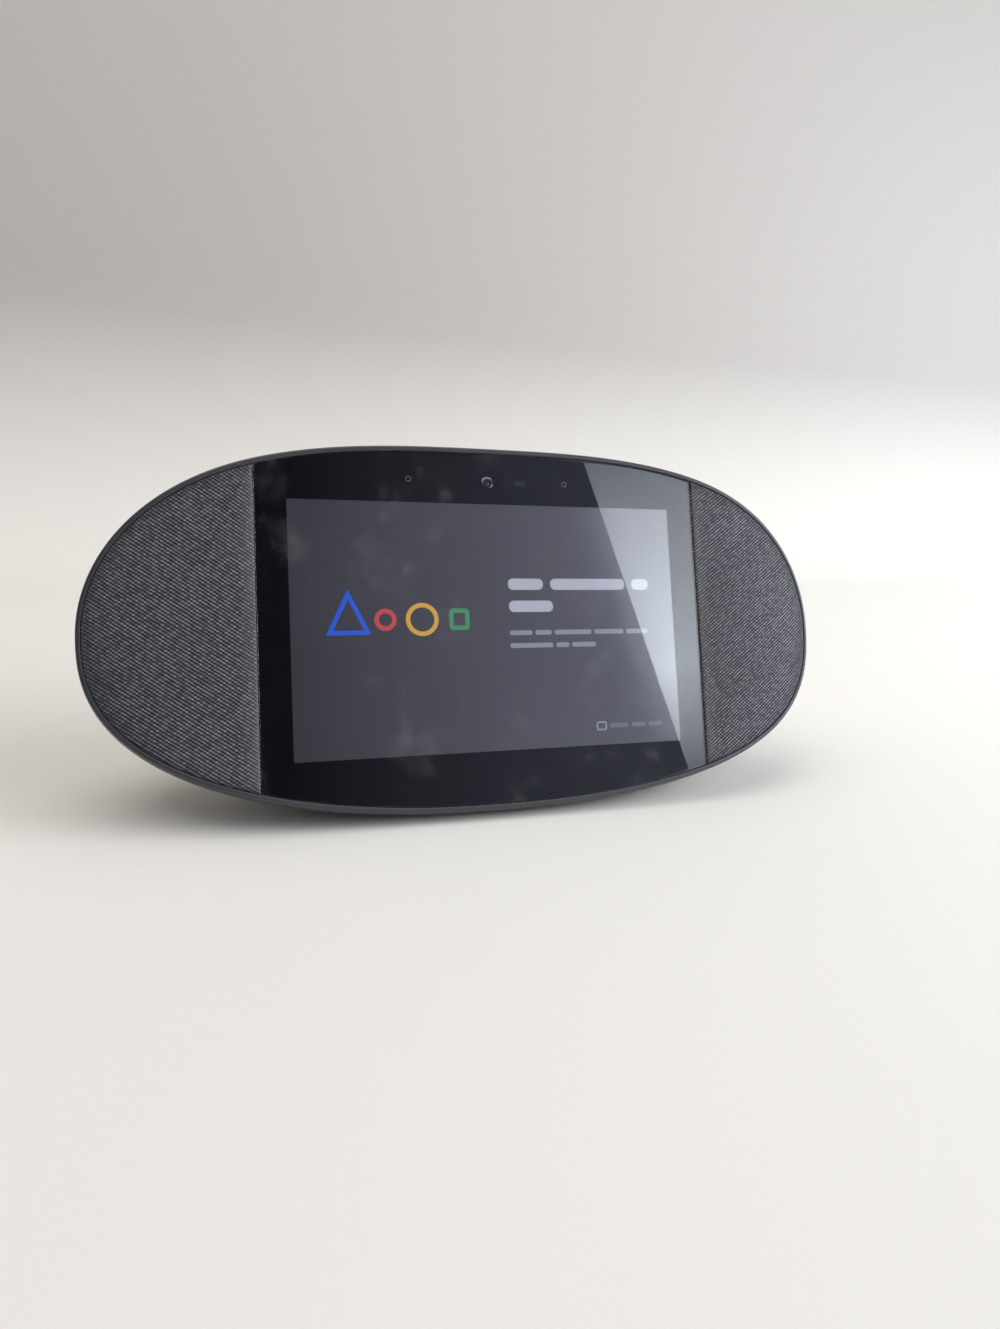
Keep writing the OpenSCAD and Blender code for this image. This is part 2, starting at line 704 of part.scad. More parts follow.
module key_board() color(board_green) top_place() difference() {
    translate([-42, -4, -board_top - board_t]) cube([98, 9, board_t]);
    for (x = key_post_at) translate([x, 0, -20]) cylinder(r = 1.2, h = 20, $fn = 24);
}

module dome_switches() color(steel) for (side = [-1, 1]) top_place(side * volume_x) {
    translate([-2.6, -2.6, -board_top]) cube([5.2, 5.2, 0.9]);
    translate([0, 0, -board_top + 0.8]) cylinder(r = 1.6, h = board_top - 0.8 - dome_top);
}

module mute_switch() color(steel) top_place(mute_x) difference() {
    translate([-4.5, -2, -board_top]) cube([9, 4, 2.2]);
    translate([-3.2, -1, -board_top + 1.2]) cube([6.4, 2, 3]);
}

// Knob in a shallow recess, with a stalk down to the switch
module mute_knob() color([0.6, 0.25, 0.2]) top_place(mute_x) translate([-1.5, 0, -mute_fall]) {
    difference() {
        track(3.2, 2.6, -0.9, 0.5);
        for (x = [-1.2, 0, 1.2]) translate([x, 0, 0.5]) cube([0.4, 3, 0.5], center = true);
    }
    stalk_l = board_top - 1.5 - 0.9 - mute_fall;
    translate([-1, -0.7, -0.9 - stalk_l]) cube([2, 1.4, stalk_l + eps]);
}

// Cap through the shell, a flange that stops it from coming out, and a plunger
module volume_button(side) color([0.24, 0.24, 0.25]) top_place(side * volume_x) difference() {
    union() {
        track(button_l / 2, button_w / 2, -wall_gap - eps, button_proud);
        track(button_l / 2 + 1.4, button_w / 2 + 1, -wall_gap - 0.9, -wall_gap);
        translate([0, 0, -dome_top + 0.65]) cylinder(r = 1.5, h = dome_top - 0.65 - wall_gap - 0.8);
    }
    translate([0, 0, button_proud]) cube([4, 0.8, 0.6], center = true);
    if (side > 0) translate([0, 0, button_proud]) cube([0.8, 4, 0.6], center = true);
}

// ---------------------------------------------------------------- cables and aerials

module display_ribbon() color([0.75, 0.5, 0.15]) face_place() {
    translate([-11, -34, -main_board_front]) cube([22, 12, 0.3]);
    translate([-11, -22.3, -main_board_front]) cube([22, 0.3, main_board_front - glass_t - panel_t - backlight_t]);
}

module antennas() color([0.75, 0.5, 0.15]) for (side = [-1, 1]) face_place()
    translate([side * 74 - 14, 44, -deck_back - 0.4]) cube([28, 10, 0.4]);

// ---------------------------------------------------------------- fasteners

module frame_screws() color(steel) face_place() for (p = frame_screw_at)
    translate([p[0], p[1], -deck_front - sweep(p[0])])
        screw(2.4, 1.6, frame_shank_r, deck_t + 7);

module driver_screws() color(steel) for (side = [-1, 1]) driver_place(side) driver_screw_spots()
    translate([0, 0, -plate_t]) rotate([180, 0, 0]) screw(1.9, 1.2, 1, 3.6);

module board_screws() color(steel) {
    face_place() for (x = [-52, 52], y = [-40, 40])
        translate([x, y, -main_board_front - 1.6]) rotate([180, 0, 0]) screw(1.9, 1.2, 1, 4.8);
    for (p = power_post_at) translate([p[0], face_y + p[1], power_board_z + 1.6]) screw(1.9, 1.2, 1, 6);
    for (x = key_post_at) top_place(x) translate([0, 0, -board_top - board_t])
        rotate([180, 0, 0]) screw(1.9, 1.2, 1, 4.6);
}

module radiator_screws() color(steel) rear_place(z = rad_drop) radiator_screw_spots()
    translate([0, 0, rad_seat - 2.6]) rotate([180, 0, 0]) screw(2, 1.2, 1, 4.6);

// ---------------------------------------------------------------- nodes

bezel_ring();
cover_glass();
glass_gasket();
display_panel();
backlight_unit();
front_frame();
camera_module();
camera_lens();
light_sensor();
microphone(-1);  // left_microphone
microphone(1);  // right_microphone
shutter_blade();
shutter_knob();
fabric(-1);  // left_fabric
fabric(1);  // right_fabric
grille(-1);  // left_grille
grille(1);  // right_grille
basket(-1);  // left_basket
basket(1);  // right_basket
magnet(-1);  // left_magnet
magnet(1);  // right_magnet
yoke(-1);  // left_yoke
yoke(1);  // right_yoke
cone(-1);  // left_cone
cone(1);  // right_cone
voice_coil(-1);  // left_voice_coil
voice_coil(1);  // right_voice_coil
surround(-1);  // left_surround
surround(1);  // right_surround
spider(-1);  // left_spider
spider(1);  // right_spider
driver_gasket(-1);  // left_driver_gasket
driver_gasket(1);  // right_driver_gasket
seam_gasket();
rear_shell();
radiator_frame();
radiator_gasket();
radiator_diaphragm();
radiator_weight();
radiator_surround();
rubber_foot();
main_board();
shield_can();
heat_spreader();
power_board();
dc_jack();
key_board();
dome_switches();
mute_switch();
mute_knob();
volume_button(-1);  // volume_down_button
volume_button(1);  // volume_up_button
display_ribbon();
antennas();
frame_screws();
driver_screws();
board_screws();
radiator_screws();
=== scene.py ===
import json
import math

import bmesh
import bpy
import numpy as np
from mathutils import Matrix, Vector


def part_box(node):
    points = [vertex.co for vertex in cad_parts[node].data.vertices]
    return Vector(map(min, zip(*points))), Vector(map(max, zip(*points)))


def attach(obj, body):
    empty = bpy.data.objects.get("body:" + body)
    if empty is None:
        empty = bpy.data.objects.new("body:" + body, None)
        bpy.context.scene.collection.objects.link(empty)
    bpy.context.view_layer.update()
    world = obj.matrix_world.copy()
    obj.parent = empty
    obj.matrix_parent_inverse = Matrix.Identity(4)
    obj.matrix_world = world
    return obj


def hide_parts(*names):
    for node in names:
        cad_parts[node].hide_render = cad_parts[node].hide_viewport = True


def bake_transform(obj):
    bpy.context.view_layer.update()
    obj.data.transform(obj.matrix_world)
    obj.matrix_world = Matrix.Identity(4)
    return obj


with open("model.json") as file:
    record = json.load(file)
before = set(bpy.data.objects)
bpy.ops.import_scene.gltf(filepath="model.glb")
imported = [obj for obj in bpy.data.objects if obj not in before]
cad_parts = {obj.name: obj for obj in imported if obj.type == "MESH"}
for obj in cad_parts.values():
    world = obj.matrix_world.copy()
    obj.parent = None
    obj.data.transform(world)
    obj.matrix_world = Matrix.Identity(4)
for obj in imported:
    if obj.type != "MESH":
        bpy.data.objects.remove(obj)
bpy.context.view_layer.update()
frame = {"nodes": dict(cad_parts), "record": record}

NODES = frame["nodes"]
MM = 0.001

# ---------------------------------------------------------------- sizes, in mm, as the CAD has them

MOUNTS = {mount["name"]: mount for mount in frame["record"]["mounts"]}
LEAN = math.radians(20)
FOOT_Y = 9
FOOT_HALF_L = 66
FOOT_HALF_D = 26
FOOT_T = 1.4
JACK_X = -34
JACK_Z = -52
JACK_FLOOR = 56
JACK_BORE_R = 4.2
POCKET_R = 7
FACE_Y = MOUNTS["foot_face"]["pos_m"][1] / MM - FOOT_Y
FACE_Z = MOUNTS["dc_inlet"]["pos_m"][2] / MM - JACK_Z
FLARE = 1.9
FLARE_X = 0.6
LIP_HALF_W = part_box("bezel_ring")[1].x / MM - FLARE * FLARE_X
LIP_HALF_H = 78.1
LIP_W = 1.9
OVAL_P = 3.05
OVAL_Q = 1.98
LOW_P = 2.27
LOW_Q = 2.48
GLASS_HALF_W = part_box("cover_glass")[1].x / MM
GLASS_T = 1.1
WING_START = GLASS_HALF_W + 0.3
WING_R = 193
INSET = LIP_W + 0.2
CLOTH_WRAP = 0.7
RING_BACK = 8
DECK_BACK = 7.6
SHELL_FRONT = RING_BACK + 0.8
SHELL_WALL = 2.4
REAR_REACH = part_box("rear_shell")[1].y / MM - FACE_Y
BACK_DROP = 5
SIDE_FULLNESS = 2.4
BOTTOM_FULLNESS = 3
OUTLINE_POINTS = 420
OUTLINE_STEP = 2.0
CAMERA_Y = 63.9
CAMERA_WINDOW_R = 2.85
MIC_X = 35.4
MIC_HOLE_R = 0.5
MIC_RING_R = 1.05
SENSOR_X = 14.3
ACTIVE_HALF_W = 86.1
ACTIVE_HALF_H = 53.8
RAD_HALF_L = 58
RAD_HALF_H = 27
RAD_SEAT = 65
RAD_FLANGE = 9
DIAPHRAGM_HALF_L = 46.5
DIAPHRAGM_HALF_H = 15.5
ROLL_R = 3.25
ROLL_T = 0.6
TOP_TAU = 0.37
KNOB_TAU = 0.1
VOLUME_X = 20
MUTE_X = 47
SHUTTER_X = -8.75
SHUTTER_TRAVEL = 8
SHUTTER_TRACK = (12.3, 2.4)
BUTTON_HOLE = (8.8, 3.5)
MUTE_RECESS = (7.5, 3.4)
MUTE_SLOT = (4, 1.2)


# ---------------------------------------------------------------- frames and outlines


def to_row(points):
    """Face frame (x right, y up the face, z out of the glass, mm) to the row frame, in metres."""
    p = np.asarray(points, float)
    x, y, z = p[..., 0], p[..., 1], p[..., 2]
    row_y = FACE_Y + y * math.sin(LEAN) - z * math.cos(LEAN)
    row_z = FACE_Z + y * math.cos(LEAN) + z * math.sin(LEAN)
    return np.stack([x, row_y, row_z], -1) * MM


def sweep(x):
    """How far the wings have swept back at x."""
    beyond = np.maximum(0, np.abs(x) - WING_START)
    return WING_R - np.sqrt(WING_R**2 - beyond**2)


def signed_pow(v, e):
    return np.sign(v) * np.abs(v) ** e


def superellipse(half_w, half_h, angles):
    x = half_w * signed_pow(np.cos(angles), 2 / OVAL_P)
    y = half_h * signed_pow(np.sin(angles), 2 / OVAL_Q)
    return np.stack([x, y], -1)


def oval(half_w, half_h, angles):
    """The face's outline. Points below its widest line stand straight under those above it."""
    above = superellipse(half_w, half_h, angles)
    share = np.abs(above[..., 0] / half_w)
    below = -half_h * np.maximum(0, 1 - share**LOW_P) ** (1 / LOW_Q)
    return np.stack([above[..., 0], np.where(angles <= math.pi, above[..., 1], below)], -1)


def even_angles(count):
    """Angles that put points evenly along the outline's upper half, mirrored below."""
    fine = np.linspace(0, math.pi, 10001)
    p = oval(LIP_HALF_W, LIP_HALF_H, fine)
    along = np.concatenate([[0], np.cumsum(np.linalg.norm(np.diff(p, axis=0), axis=1))])
    upper = np.interp(np.linspace(0, along[-1], count // 2 + 1), along, fine)
    return np.concatenate([upper, 2 * math.pi - upper[-2:0:-1]])


def racetrack(half_l, half_h, steps=24):
    turn = np.linspace(-math.pi / 2, math.pi / 2, steps + 1)
    right = np.stack([half_l - half_h + half_h * np.cos(turn), half_h * np.sin(turn)], -1)
    return np.concatenate([right, -right])


def circle(radius, steps=48):
    turn = np.arange(steps) * 2 * math.pi / steps
    return np.stack([radius * np.cos(turn), radius * np.sin(turn)], -1)


def clip(outline, axis, limit, above):
    """The part of a closed outline on one side of a line, with the line as its new edge."""
    kept = []
    for a, b in zip(outline, np.roll(outline, -1, 0)):
        a_in = (a[axis] >= limit) == above
        b_in = (b[axis] >= limit) == above
        if a_in:
            kept.append(a)
        if a_in != b_in:
            kept.append(a + (b - a) * (limit - a[axis]) / (b[axis] - a[axis]))
    return np.array(kept)


def refine(outline, step):
    """Splits the long sides of a closed outline, and drops points that nearly coincide."""
    made = []
    for a, b in zip(outline, np.roll(outline, -1, 0)):
        length = np.linalg.norm(b - a)
        if length < step * 0.05:
            continue
        n = max(1, int(math.ceil(length / step)))
        made += [a + (b - a) * k / n for k in range(n)]
    return np.array(made)


def inward(outline, distance):
    """A closed anticlockwise outline moved inward by a distance, with its corners kept."""
    before = outline - np.roll(outline, 1, 0)
    after = np.roll(outline, -1, 0) - outline
    before /= np.linalg.norm(before, axis=1)[:, None]
    after /= np.linalg.norm(after, axis=1)[:, None]
    n1 = np.stack([-before[:, 1], before[:, 0]], -1)
    n2 = np.stack([-after[:, 1], after[:, 0]], -1)
    mitre = (n1 + n2) / np.maximum(1 + (n1 * n2).sum(1), 0.2)[:, None]
    return outline + mitre * distance


# ---------------------------------------------------------------- placing


def on_face(p):
    """[x, y, depth] behind the glass's front, following the wings."""
    return to_row(np.stack([p[..., 0], p[..., 1], -p[..., 2] - sweep(p[..., 0])], -1))


def on_flat(p):
    """[x, y, depth] behind the glass's front, not following the wings."""
    return to_row(np.stack([p[..., 0], p[..., 1], -p[..., 2]], -1))


def rear_at(x=0, z=0):
    """Places [x, up, depth] in the rear frame: depth is how far back it is."""

    def place(p):
        return np.stack([x + p[..., 0], FACE_Y + p[..., 2], FACE_Z + z + p[..., 1]], -1) * MM

    return place


def upright_at(y):
    """Places [x, y, height] straight above the table."""

    def place(p):
        return np.stack([p[..., 0], FACE_Y + y + p[..., 1], p[..., 2]], -1) * MM

    return place


def fullness(tau, power):
    return np.maximum(0, 1 - tau**power) ** (1 / power)


def dome_point(angles, tau, shrink=0.0, lead=0.0):
    """A ring of the rear dome: leaning like the face at tau 0, upright at the back."""
    top = fullness(tau, SIDE_FULLNESS)
    bottom = fullness(tau, BOTTOM_FULLNESS)
    half_w = (LIP_HALF_W + FLARE * FLARE_X - shrink) * top
    v = oval(1, 1, angles)
    x = v[..., 0] * half_w
    y = v[..., 1] * (LIP_HALF_H + FLARE - shrink) * np.where(v[..., 1] >= 0, top, bottom)
    tilt = LEAN * (1 - tau)
    back = sweep(x) - lead
    front = SHELL_FRONT * np.array([math.cos(LEAN), -math.sin(LEAN)])
    centre = front + tau * (np.array([REAR_REACH - shrink, -BACK_DROP]) - front)
    row_y = FACE_Y + centre[0] + y * math.sin(tilt) + back * math.cos(tilt)
    row_z = FACE_Z + centre[1] + y * math.cos(tilt) - back * math.sin(tilt)
    return np.stack([x, row_y, row_z], -1)


def top_frame(x, tau):
    """Places [x, y, z] in a frame on the dome's top centre line: z out of the shell, y backward."""
    up = np.array([math.pi / 2])
    origin = dome_point(up, tau)[0]
    step = dome_point(up, tau + 0.02)[0] - dome_point(up, tau - 0.02)[0]
    slope = math.atan2(step[2], step[1])

    def place(p):
        y = p[..., 1] * math.cos(slope) - p[..., 2] * math.sin(slope)
        z = p[..., 1] * math.sin(slope) + p[..., 2] * math.cos(slope)
        return np.stack([x + p[..., 0], origin[1] + y, origin[2] + z], -1) * MM

    return place


def top_fall(x):
    """How far the shell's surface has fallen at x, behind the top controls."""
    full = fullness(TOP_TAU, SIDE_FULLNESS)
    share = x / ((LIP_HALF_W + FLARE * FLARE_X) * full)
    return (LIP_HALF_H + FLARE) * full * (1 - (1 - share**OVAL_P) ** (1 / OVAL_Q))


# ---------------------------------------------------------------- meshes


def mesh_object(name, points, faces, material, crease=35):
    """A smooth-shaded mesh from points in metres, with edges sharper than crease kept sharp."""
    mesh = bpy.data.meshes.new(name)
    mesh.from_pydata([tuple(p) for p in points], [], faces)
    obj = bpy.data.objects.new(name, mesh)
    bpy.context.scene.collection.objects.link(obj)
    clean(mesh, crease)
    if material:
        mesh.materials.append(material)
    return obj


def clean(mesh, crease):
    bm = bmesh.new()
    bm.from_mesh(mesh)
    bmesh.ops.remove_doubles(bm, verts=bm.verts, dist=1e-6)
    bmesh.ops.recalc_face_normals(bm, faces=bm.faces)
    for face in bm.faces:
        face.smooth = True
    for edge in bm.edges:
        edge.smooth = len(edge.link_faces) == 2 and edge.calc_face_angle(0) < math.radians(crease)
    bm.to_mesh(mesh)
    bm.free()


def ring_faces(rings, n):
    """Quads between rings of n points each."""
    return [
        (r * n + i, r * n + (i + 1) % n, (r + 1) * n + (i + 1) % n, (r + 1) * n + i)
        for r in range(rings - 1)
        for i in range(n)
    ]


def rounded(points, passes):
    """Cuts the corners of an open line, except its ends, once for each pass."""
    line = [np.array(p, float) for p in points]
    for _ in range(passes):
        made = [line[0]]
        for a, b, c in zip(line, line[1:], line[2:]):
            made += [b + (a - b) / 4, b + (c - b) / 4]
        line = made + [line[-1]]
    return np.array(line)


def band(name, section, material, count, crease=35):
    """A ring with the face's outline; its section is a closed list of [outward, depth]."""
    angles = even_angles(count)
    loops = []
    for out, depth in section:
        half_w = LIP_HALF_W + (FLARE_X * out if out > 0 else out)
        v = oval(half_w, LIP_HALF_H + out, angles)
        loops.append(on_face(np.column_stack([v, np.full(count, depth)])))
    loops.append(loops[0])
    points = np.concatenate(loops)
    return mesh_object(name, points, ring_faces(len(loops), count), material, crease)


def plate(name, outline, profile, place, material, rings=1):
    """A plate with a shaped edge.

    profile lists [inset, depth] from the back's rim round the edge to the front's rim. Both caps run
    in to the middle in rings, so that they follow a curved place.
    """
    n = len(outline)
    middle = (outline.max(0) + outline.min(0)) / 2
    loops = []
    inner = inward(outline, profile[0][0])
    for k in range(1, rings + 1):
        share = (k / rings) if k < rings else 1
        loops.append((middle + (inner - middle) * share, profile[0][1]))
    for inset, depth in profile[1:]:
        loops.append((inward(outline, inset), depth))
    inner = inward(outline, profile[-1][0])
    for k in range(rings - 1, 0, -1):
        loops.append((middle + (inner - middle) * k / rings, profile[-1][1]))
    points = [np.column_stack([v, np.full(n, depth)]) for v, depth in loops]
    points += [np.array([[*middle, profile[0][1]], [*middle, profile[-1][1]]])]
    faces = ring_faces(len(loops), n)
    first, last = len(loops) * n, len(loops) * n + 1
    top = (len(loops) - 1) * n
    for i in range(n):
        faces.append((i, first, (i + 1) % n))
        faces.append((top + i, top + (i + 1) % n, last))
    return mesh_object(name, place(np.concatenate(points)), faces, material)


def prism(outline, low, high, place):
    """A plain cutter between two depths."""
    n = len(outline)
    points = [np.column_stack([outline, np.full(n, d)]) for d in (low, high)]
    faces = ring_faces(2, n) + [tuple(range(n)), tuple(range(2 * n - 1, n - 1, -1))]
    return mesh_object("cutter", place(np.concatenate(points)), faces, None)


def boolean(obj, cutters, solver="MANIFOLD", crease=35):
    """Cuts the cutters out of the mesh one after another, and removes them."""
    for cutter in cutters:
        modifier = obj.modifiers.new("cut", "BOOLEAN")
        modifier.operation = "DIFFERENCE"
        modifier.solver = solver
        modifier.object = cutter
        apply(obj)
        bpy.data.objects.remove(cutter)
    clean(obj.data, crease)
    return obj


def apply(obj):
    """Applies every modifier to the mesh."""
    bpy.context.view_layer.update()
    evaluated = obj.evaluated_get(bpy.context.evaluated_depsgraph_get())
    mesh = bpy.data.meshes.new_from_object(evaluated)
    obj.modifiers.clear()
    obj.data = mesh


def dress(obj, material):
    """Gives the whole mesh one material, whatever slots the boolean cuts left."""
    obj.data.materials.clear()
    obj.data.materials.append(material)
    for polygon in obj.data.polygons:
        polygon.material_index = 0


def soften(obj, width):
    """Rounds the edges of a CAD node with modifiers, which leave its mesh as it is."""
    weld = obj.modifiers.new("weld", "WELD")
    weld.merge_threshold = 1e-6
    bevel = obj.modifiers.new("bevel", "BEVEL")
    bevel.width = width * MM
    bevel.segments = 3
    bevel.limit_method = "ANGLE"
    bevel.angle_limit = math.radians(30)
    bevel.harden_normals = False
    for polygon in obj.data.polygons:
        polygon.use_smooth = True


# ---------------------------------------------------------------- material graphs


class Graph:
    """A material with one Principled shader, and short calls for the nodes that feed it."""

    def __init__(self, name, **settings):
        self.material = bpy.data.materials.new(name)
        self.material.use_nodes = True
        self.tree = self.material.node_tree
        self.tree.nodes.clear()
        self.shader = self.node("ShaderNodeBsdfPrincipled")
        out = self.node("ShaderNodeOutputMaterial")
        self.tree.links.new(self.shader.outputs[0], out.inputs[0])
        for socket, value in settings.items():
            self.shader.inputs[socket.replace("_", " ")].default_value = value
        self.place = self.node("ShaderNodeTexCoord").outputs["Object"]

    def node(self, kind, **settings):
        made = self.tree.nodes.new(kind)
        for key, value in settings.items():
            setattr(made, key, value)
        return made

    def feed(self, socket, value):
        if isinstance(value, bpy.types.NodeSocket):
            self.tree.links.new(value, socket)
        elif value is not None:
            socket.default_value = value

    def math(self, operation, *values, clamp=False):
        made = self.node("ShaderNodeMath", operation=operation, use_clamp=clamp)
        for socket, value in zip(made.inputs, values):
            self.feed(socket, value)
        return made.outputs[0]

    def vector(self, operation, *values):
        made = self.node("ShaderNodeVectorMath", operation=operation)
        for socket, value in zip(made.inputs, values):
            self.feed(socket, value)
        return made.outputs[0]

    def split(self, vector):
        made = self.node("ShaderNodeSeparateXYZ")
        self.feed(made.inputs[0], vector)
        return made.outputs

    def combine(self, *values):
        made = self.node("ShaderNodeCombineXYZ")
        for socket, value in zip(made.inputs, values):
            self.feed(socket, value)
        return made.outputs[0]

    def noise(self, size_mm, detail=2.0, roughness=0.5, stretch=(1, 1, 1)):
        """Noise from 0 to 1 with features about size_mm wide."""
        scaled = self.vector("MULTIPLY", self.place, stretch)
        made = self.node("ShaderNodeTexNoise")
        self.feed(made.inputs["Vector"], scaled)
        made.inputs["Scale"].default_value = 1 / (size_mm * MM)
        made.inputs["Detail"].default_value = detail
        made.inputs["Roughness"].default_value = roughness
        return made.outputs["Fac"]

    def cells(self, size_mm, output="Distance"):
        """Cells about size_mm wide: the distance from each one's middle, or its colour."""
        made = self.node("ShaderNodeTexVoronoi", feature="F1")
        self.feed(made.inputs["Vector"], self.place)
        made.inputs["Scale"].default_value = 1 / (size_mm * MM)
        return made.outputs[output]

    def random(self, vector):
        made = self.node("ShaderNodeTexWhiteNoise", noise_dimensions="3D")
        self.feed(made.inputs["Vector"], vector)
        return made.outputs["Value"]

    def span(self, value, low, high, to_low=0.0, to_high=1.0):
        """value from low..high to to_low..to_high, clamped."""
        made = self.node("ShaderNodeMapRange")
        self.feed(made.inputs[0], value)
        for socket, number in zip(list(made.inputs)[1:5], (low, high, to_low, to_high)):
            self.feed(socket, number)
        return made.outputs[0]

    def mix(self, share, a, b):
        """Colour a where share is 0, b where it is 1."""
        made = self.node("ShaderNodeMix", data_type="RGBA")
        self.feed(made.inputs[0], share)
        for socket, colour in zip((made.inputs[6], made.inputs[7]), (a, b)):
            self.feed(socket, (*colour, 1) if isinstance(colour, tuple) else colour)
        return made.outputs[2]

    def colour(self, value):
        self.feed(self.shader.inputs["Base Color"], value)

    def rough(self, value):
        self.feed(self.shader.inputs["Roughness"], value)

    def bump(self, height, depth_mm, strength=1.0, after=None):
        made = self.node("ShaderNodeBump")
        made.inputs["Strength"].default_value = strength
        made.inputs["Distance"].default_value = depth_mm * MM
        self.feed(made.inputs["Height"], height)
        if after is not None:
            self.feed(made.inputs["Normal"], after)
        self.feed(self.shader.inputs["Normal"], made.outputs[0])
        return made.outputs[0]

    def face(self):
        """Face-frame coordinates in mm, from the object's own: x, y up the face, z out of it."""
        turned = Matrix.Rotation(LEAN - math.pi / 2, 3, "X")
        shifted = turned @ Vector((0, FACE_Y * MM, FACE_Z * MM))
        made = self.node("ShaderNodeMapping", vector_type="POINT")
        self.feed(made.inputs["Vector"], self.place)
        made.inputs["Rotation"].default_value = (LEAN - math.pi / 2, 0, 0)
        made.inputs["Location"].default_value = -shifted
        return self.vector("MULTIPLY", made.outputs[0], (1000, 1000, 1000))


def shaded(colour, gain):
    return tuple(min(1.0, c * gain) for c in colour)


def moulded(name, colour, roughness, grain=0.35, depth=0.03):
    """Moulded plastic: fine spark-eroded grain, slight mottling, and gloss that varies a little."""
    g = Graph(name)
    g.colour(g.mix(g.noise(14, 3), shaded(colour, 0.92), shaded(colour, 1.08)))
    g.rough(g.span(g.noise(9, 4), 0.3, 0.7, roughness - 0.06, roughness + 0.06))
    g.bump(g.noise(grain, 1.5), depth, 0.6)
    return g.material


def metal(name, colour, roughness, stretch=(1, 1, 1)):
    """Bare or plated metal, with fine drawing marks along one direction and faint stains."""
    g = Graph(name, Metallic=1.0)
    marks = g.noise(0.5, 2, stretch=stretch)
    g.colour(g.mix(g.noise(6, 3), shaded(colour, 0.88), shaded(colour, 1.06)))
    g.rough(g.span(marks, 0.25, 0.75, roughness - 0.1, roughness + 0.12))
    g.bump(marks, 0.01, 0.4)
    return g.material


def speckled(name, colour, roughness, size=0.5, amount=0.25):
    """Foam, rubber, pulp or ferrite: cells of slightly different tone."""
    g = Graph(name)
    spots = g.cells(size)
    g.colour(g.mix(spots, shaded(colour, 1 + amount), shaded(colour, 1 - amount)))
    g.rough(g.span(g.noise(3, 2), 0.3, 0.7, roughness - 0.05, roughness + 0.05))
    g.bump(spots, 0.04, 0.5)
    return g.material


def circuit(name, mask, copper, track=1.4):
    """Solder mask over copper tracks, which show as slightly raised, lighter lines."""
    g = Graph(name, Roughness=0.35)
    cell = g.cells(track * 3, output="Color")
    stripes = g.span(g.noise(track, 0, stretch=(1, 6, 1)), 0.5, 0.56)
    g.colour(g.mix(g.math("MULTIPLY", stripes, 0.6), mask, copper))
    g.rough(g.span(g.split(cell)[0], 0, 1, 0.28, 0.42))
    g.bump(stripes, 0.03, 0.5)
    return g.material


def wound(name, colour, pitch, depth, **settings):
    """Wire windings or corrugations: even ridges across the piece."""
    g = Graph(name, **settings)
    wave = g.node("ShaderNodeTexWave", wave_type="RINGS", rings_direction="Z")
    g.feed(wave.inputs["Vector"], g.place)
    wave.inputs["Scale"].default_value = 1 / (pitch * MM) / 6.28
    g.colour(g.mix(wave.outputs["Fac"], shaded(colour, 0.7), shaded(colour, 1.1)))
    g.rough(g.span(g.noise(2, 2), 0.3, 0.7, 0.35, 0.5))
    g.bump(wave.outputs["Fac"], depth, 0.6)
    return g.material


def bezel_material():
    """Satin grey paint on plastic: fine orange-peel, a little rubbed on its crown."""
    g = Graph("bezel_paint", Coat_Weight=0.12, Coat_Roughness=0.35)
    base = g.mix(g.noise(11, 3), (0.040, 0.040, 0.046), (0.050, 0.050, 0.057))
    rubbed = g.math("MULTIPLY", g.span(g.noise(7, 4), 0.52, 0.7), 0.35)
    g.colour(g.mix(rubbed, base, (0.070, 0.070, 0.077)))
    g.rough(g.span(g.noise(5, 3), 0.3, 0.7, 0.36, 0.48))
    g.bump(g.noise(0.5, 2), 0.015, 0.5)
    return g.material


def glass_material():
    """Clear cover glass. Finger marks leave patches where the reflection is less sharp."""
    g = Graph("clear_glass", IOR=1.52)
    smears = g.span(g.noise(26, 5, roughness=0.62, stretch=(1, 1, 0.6)), 0.52, 0.72)
    prints = g.span(g.noise(9, 3), 0.5, 0.7)
    haze = g.math("MULTIPLY", g.math("ADD", g.math("MULTIPLY", smears, 0.6), prints), smears)
    clear = g.math("SUBTRACT", 1.0, g.math("MULTIPLY", haze, 0.042))
    g.feed(g.shader.inputs["Transmission Weight"], clear)
    g.colour(g.mix(smears, (0.97, 0.98, 0.98), (0.92, 0.93, 0.93)))
    g.rough(g.math("ADD", 0.012, g.math("MULTIPLY", g.math("MULTIPLY", smears, prints), 0.05)))
    return g.material


def ink_material():
    """Black print on the back of the glass, with a pale ring round each microphone hole."""
    g = Graph("border_ink", Roughness=0.9, Specular_IOR_Level=0.1)
    x, y, _z = g.split(g.face())
    away = g.math("SUBTRACT", g.math("ABSOLUTE", x), MIC_X)
    up = g.math("SUBTRACT", y, CAMERA_Y)
    radius = g.math("SQRT", g.math("ADD", g.math("POWER", away, 2), g.math("POWER", up, 2)))
    off_ring = g.math("ABSOLUTE", g.math("SUBTRACT", radius, MIC_RING_R))
    ring = g.span(off_ring, 0.12, 0.2, 1, 0)
    ink = g.mix(g.noise(30, 2), (0.0016, 0.0017, 0.0022), (0.0024, 0.0026, 0.0034))
    g.colour(g.mix(ring, ink, (0.34, 0.34, 0.36)))
    return g.material


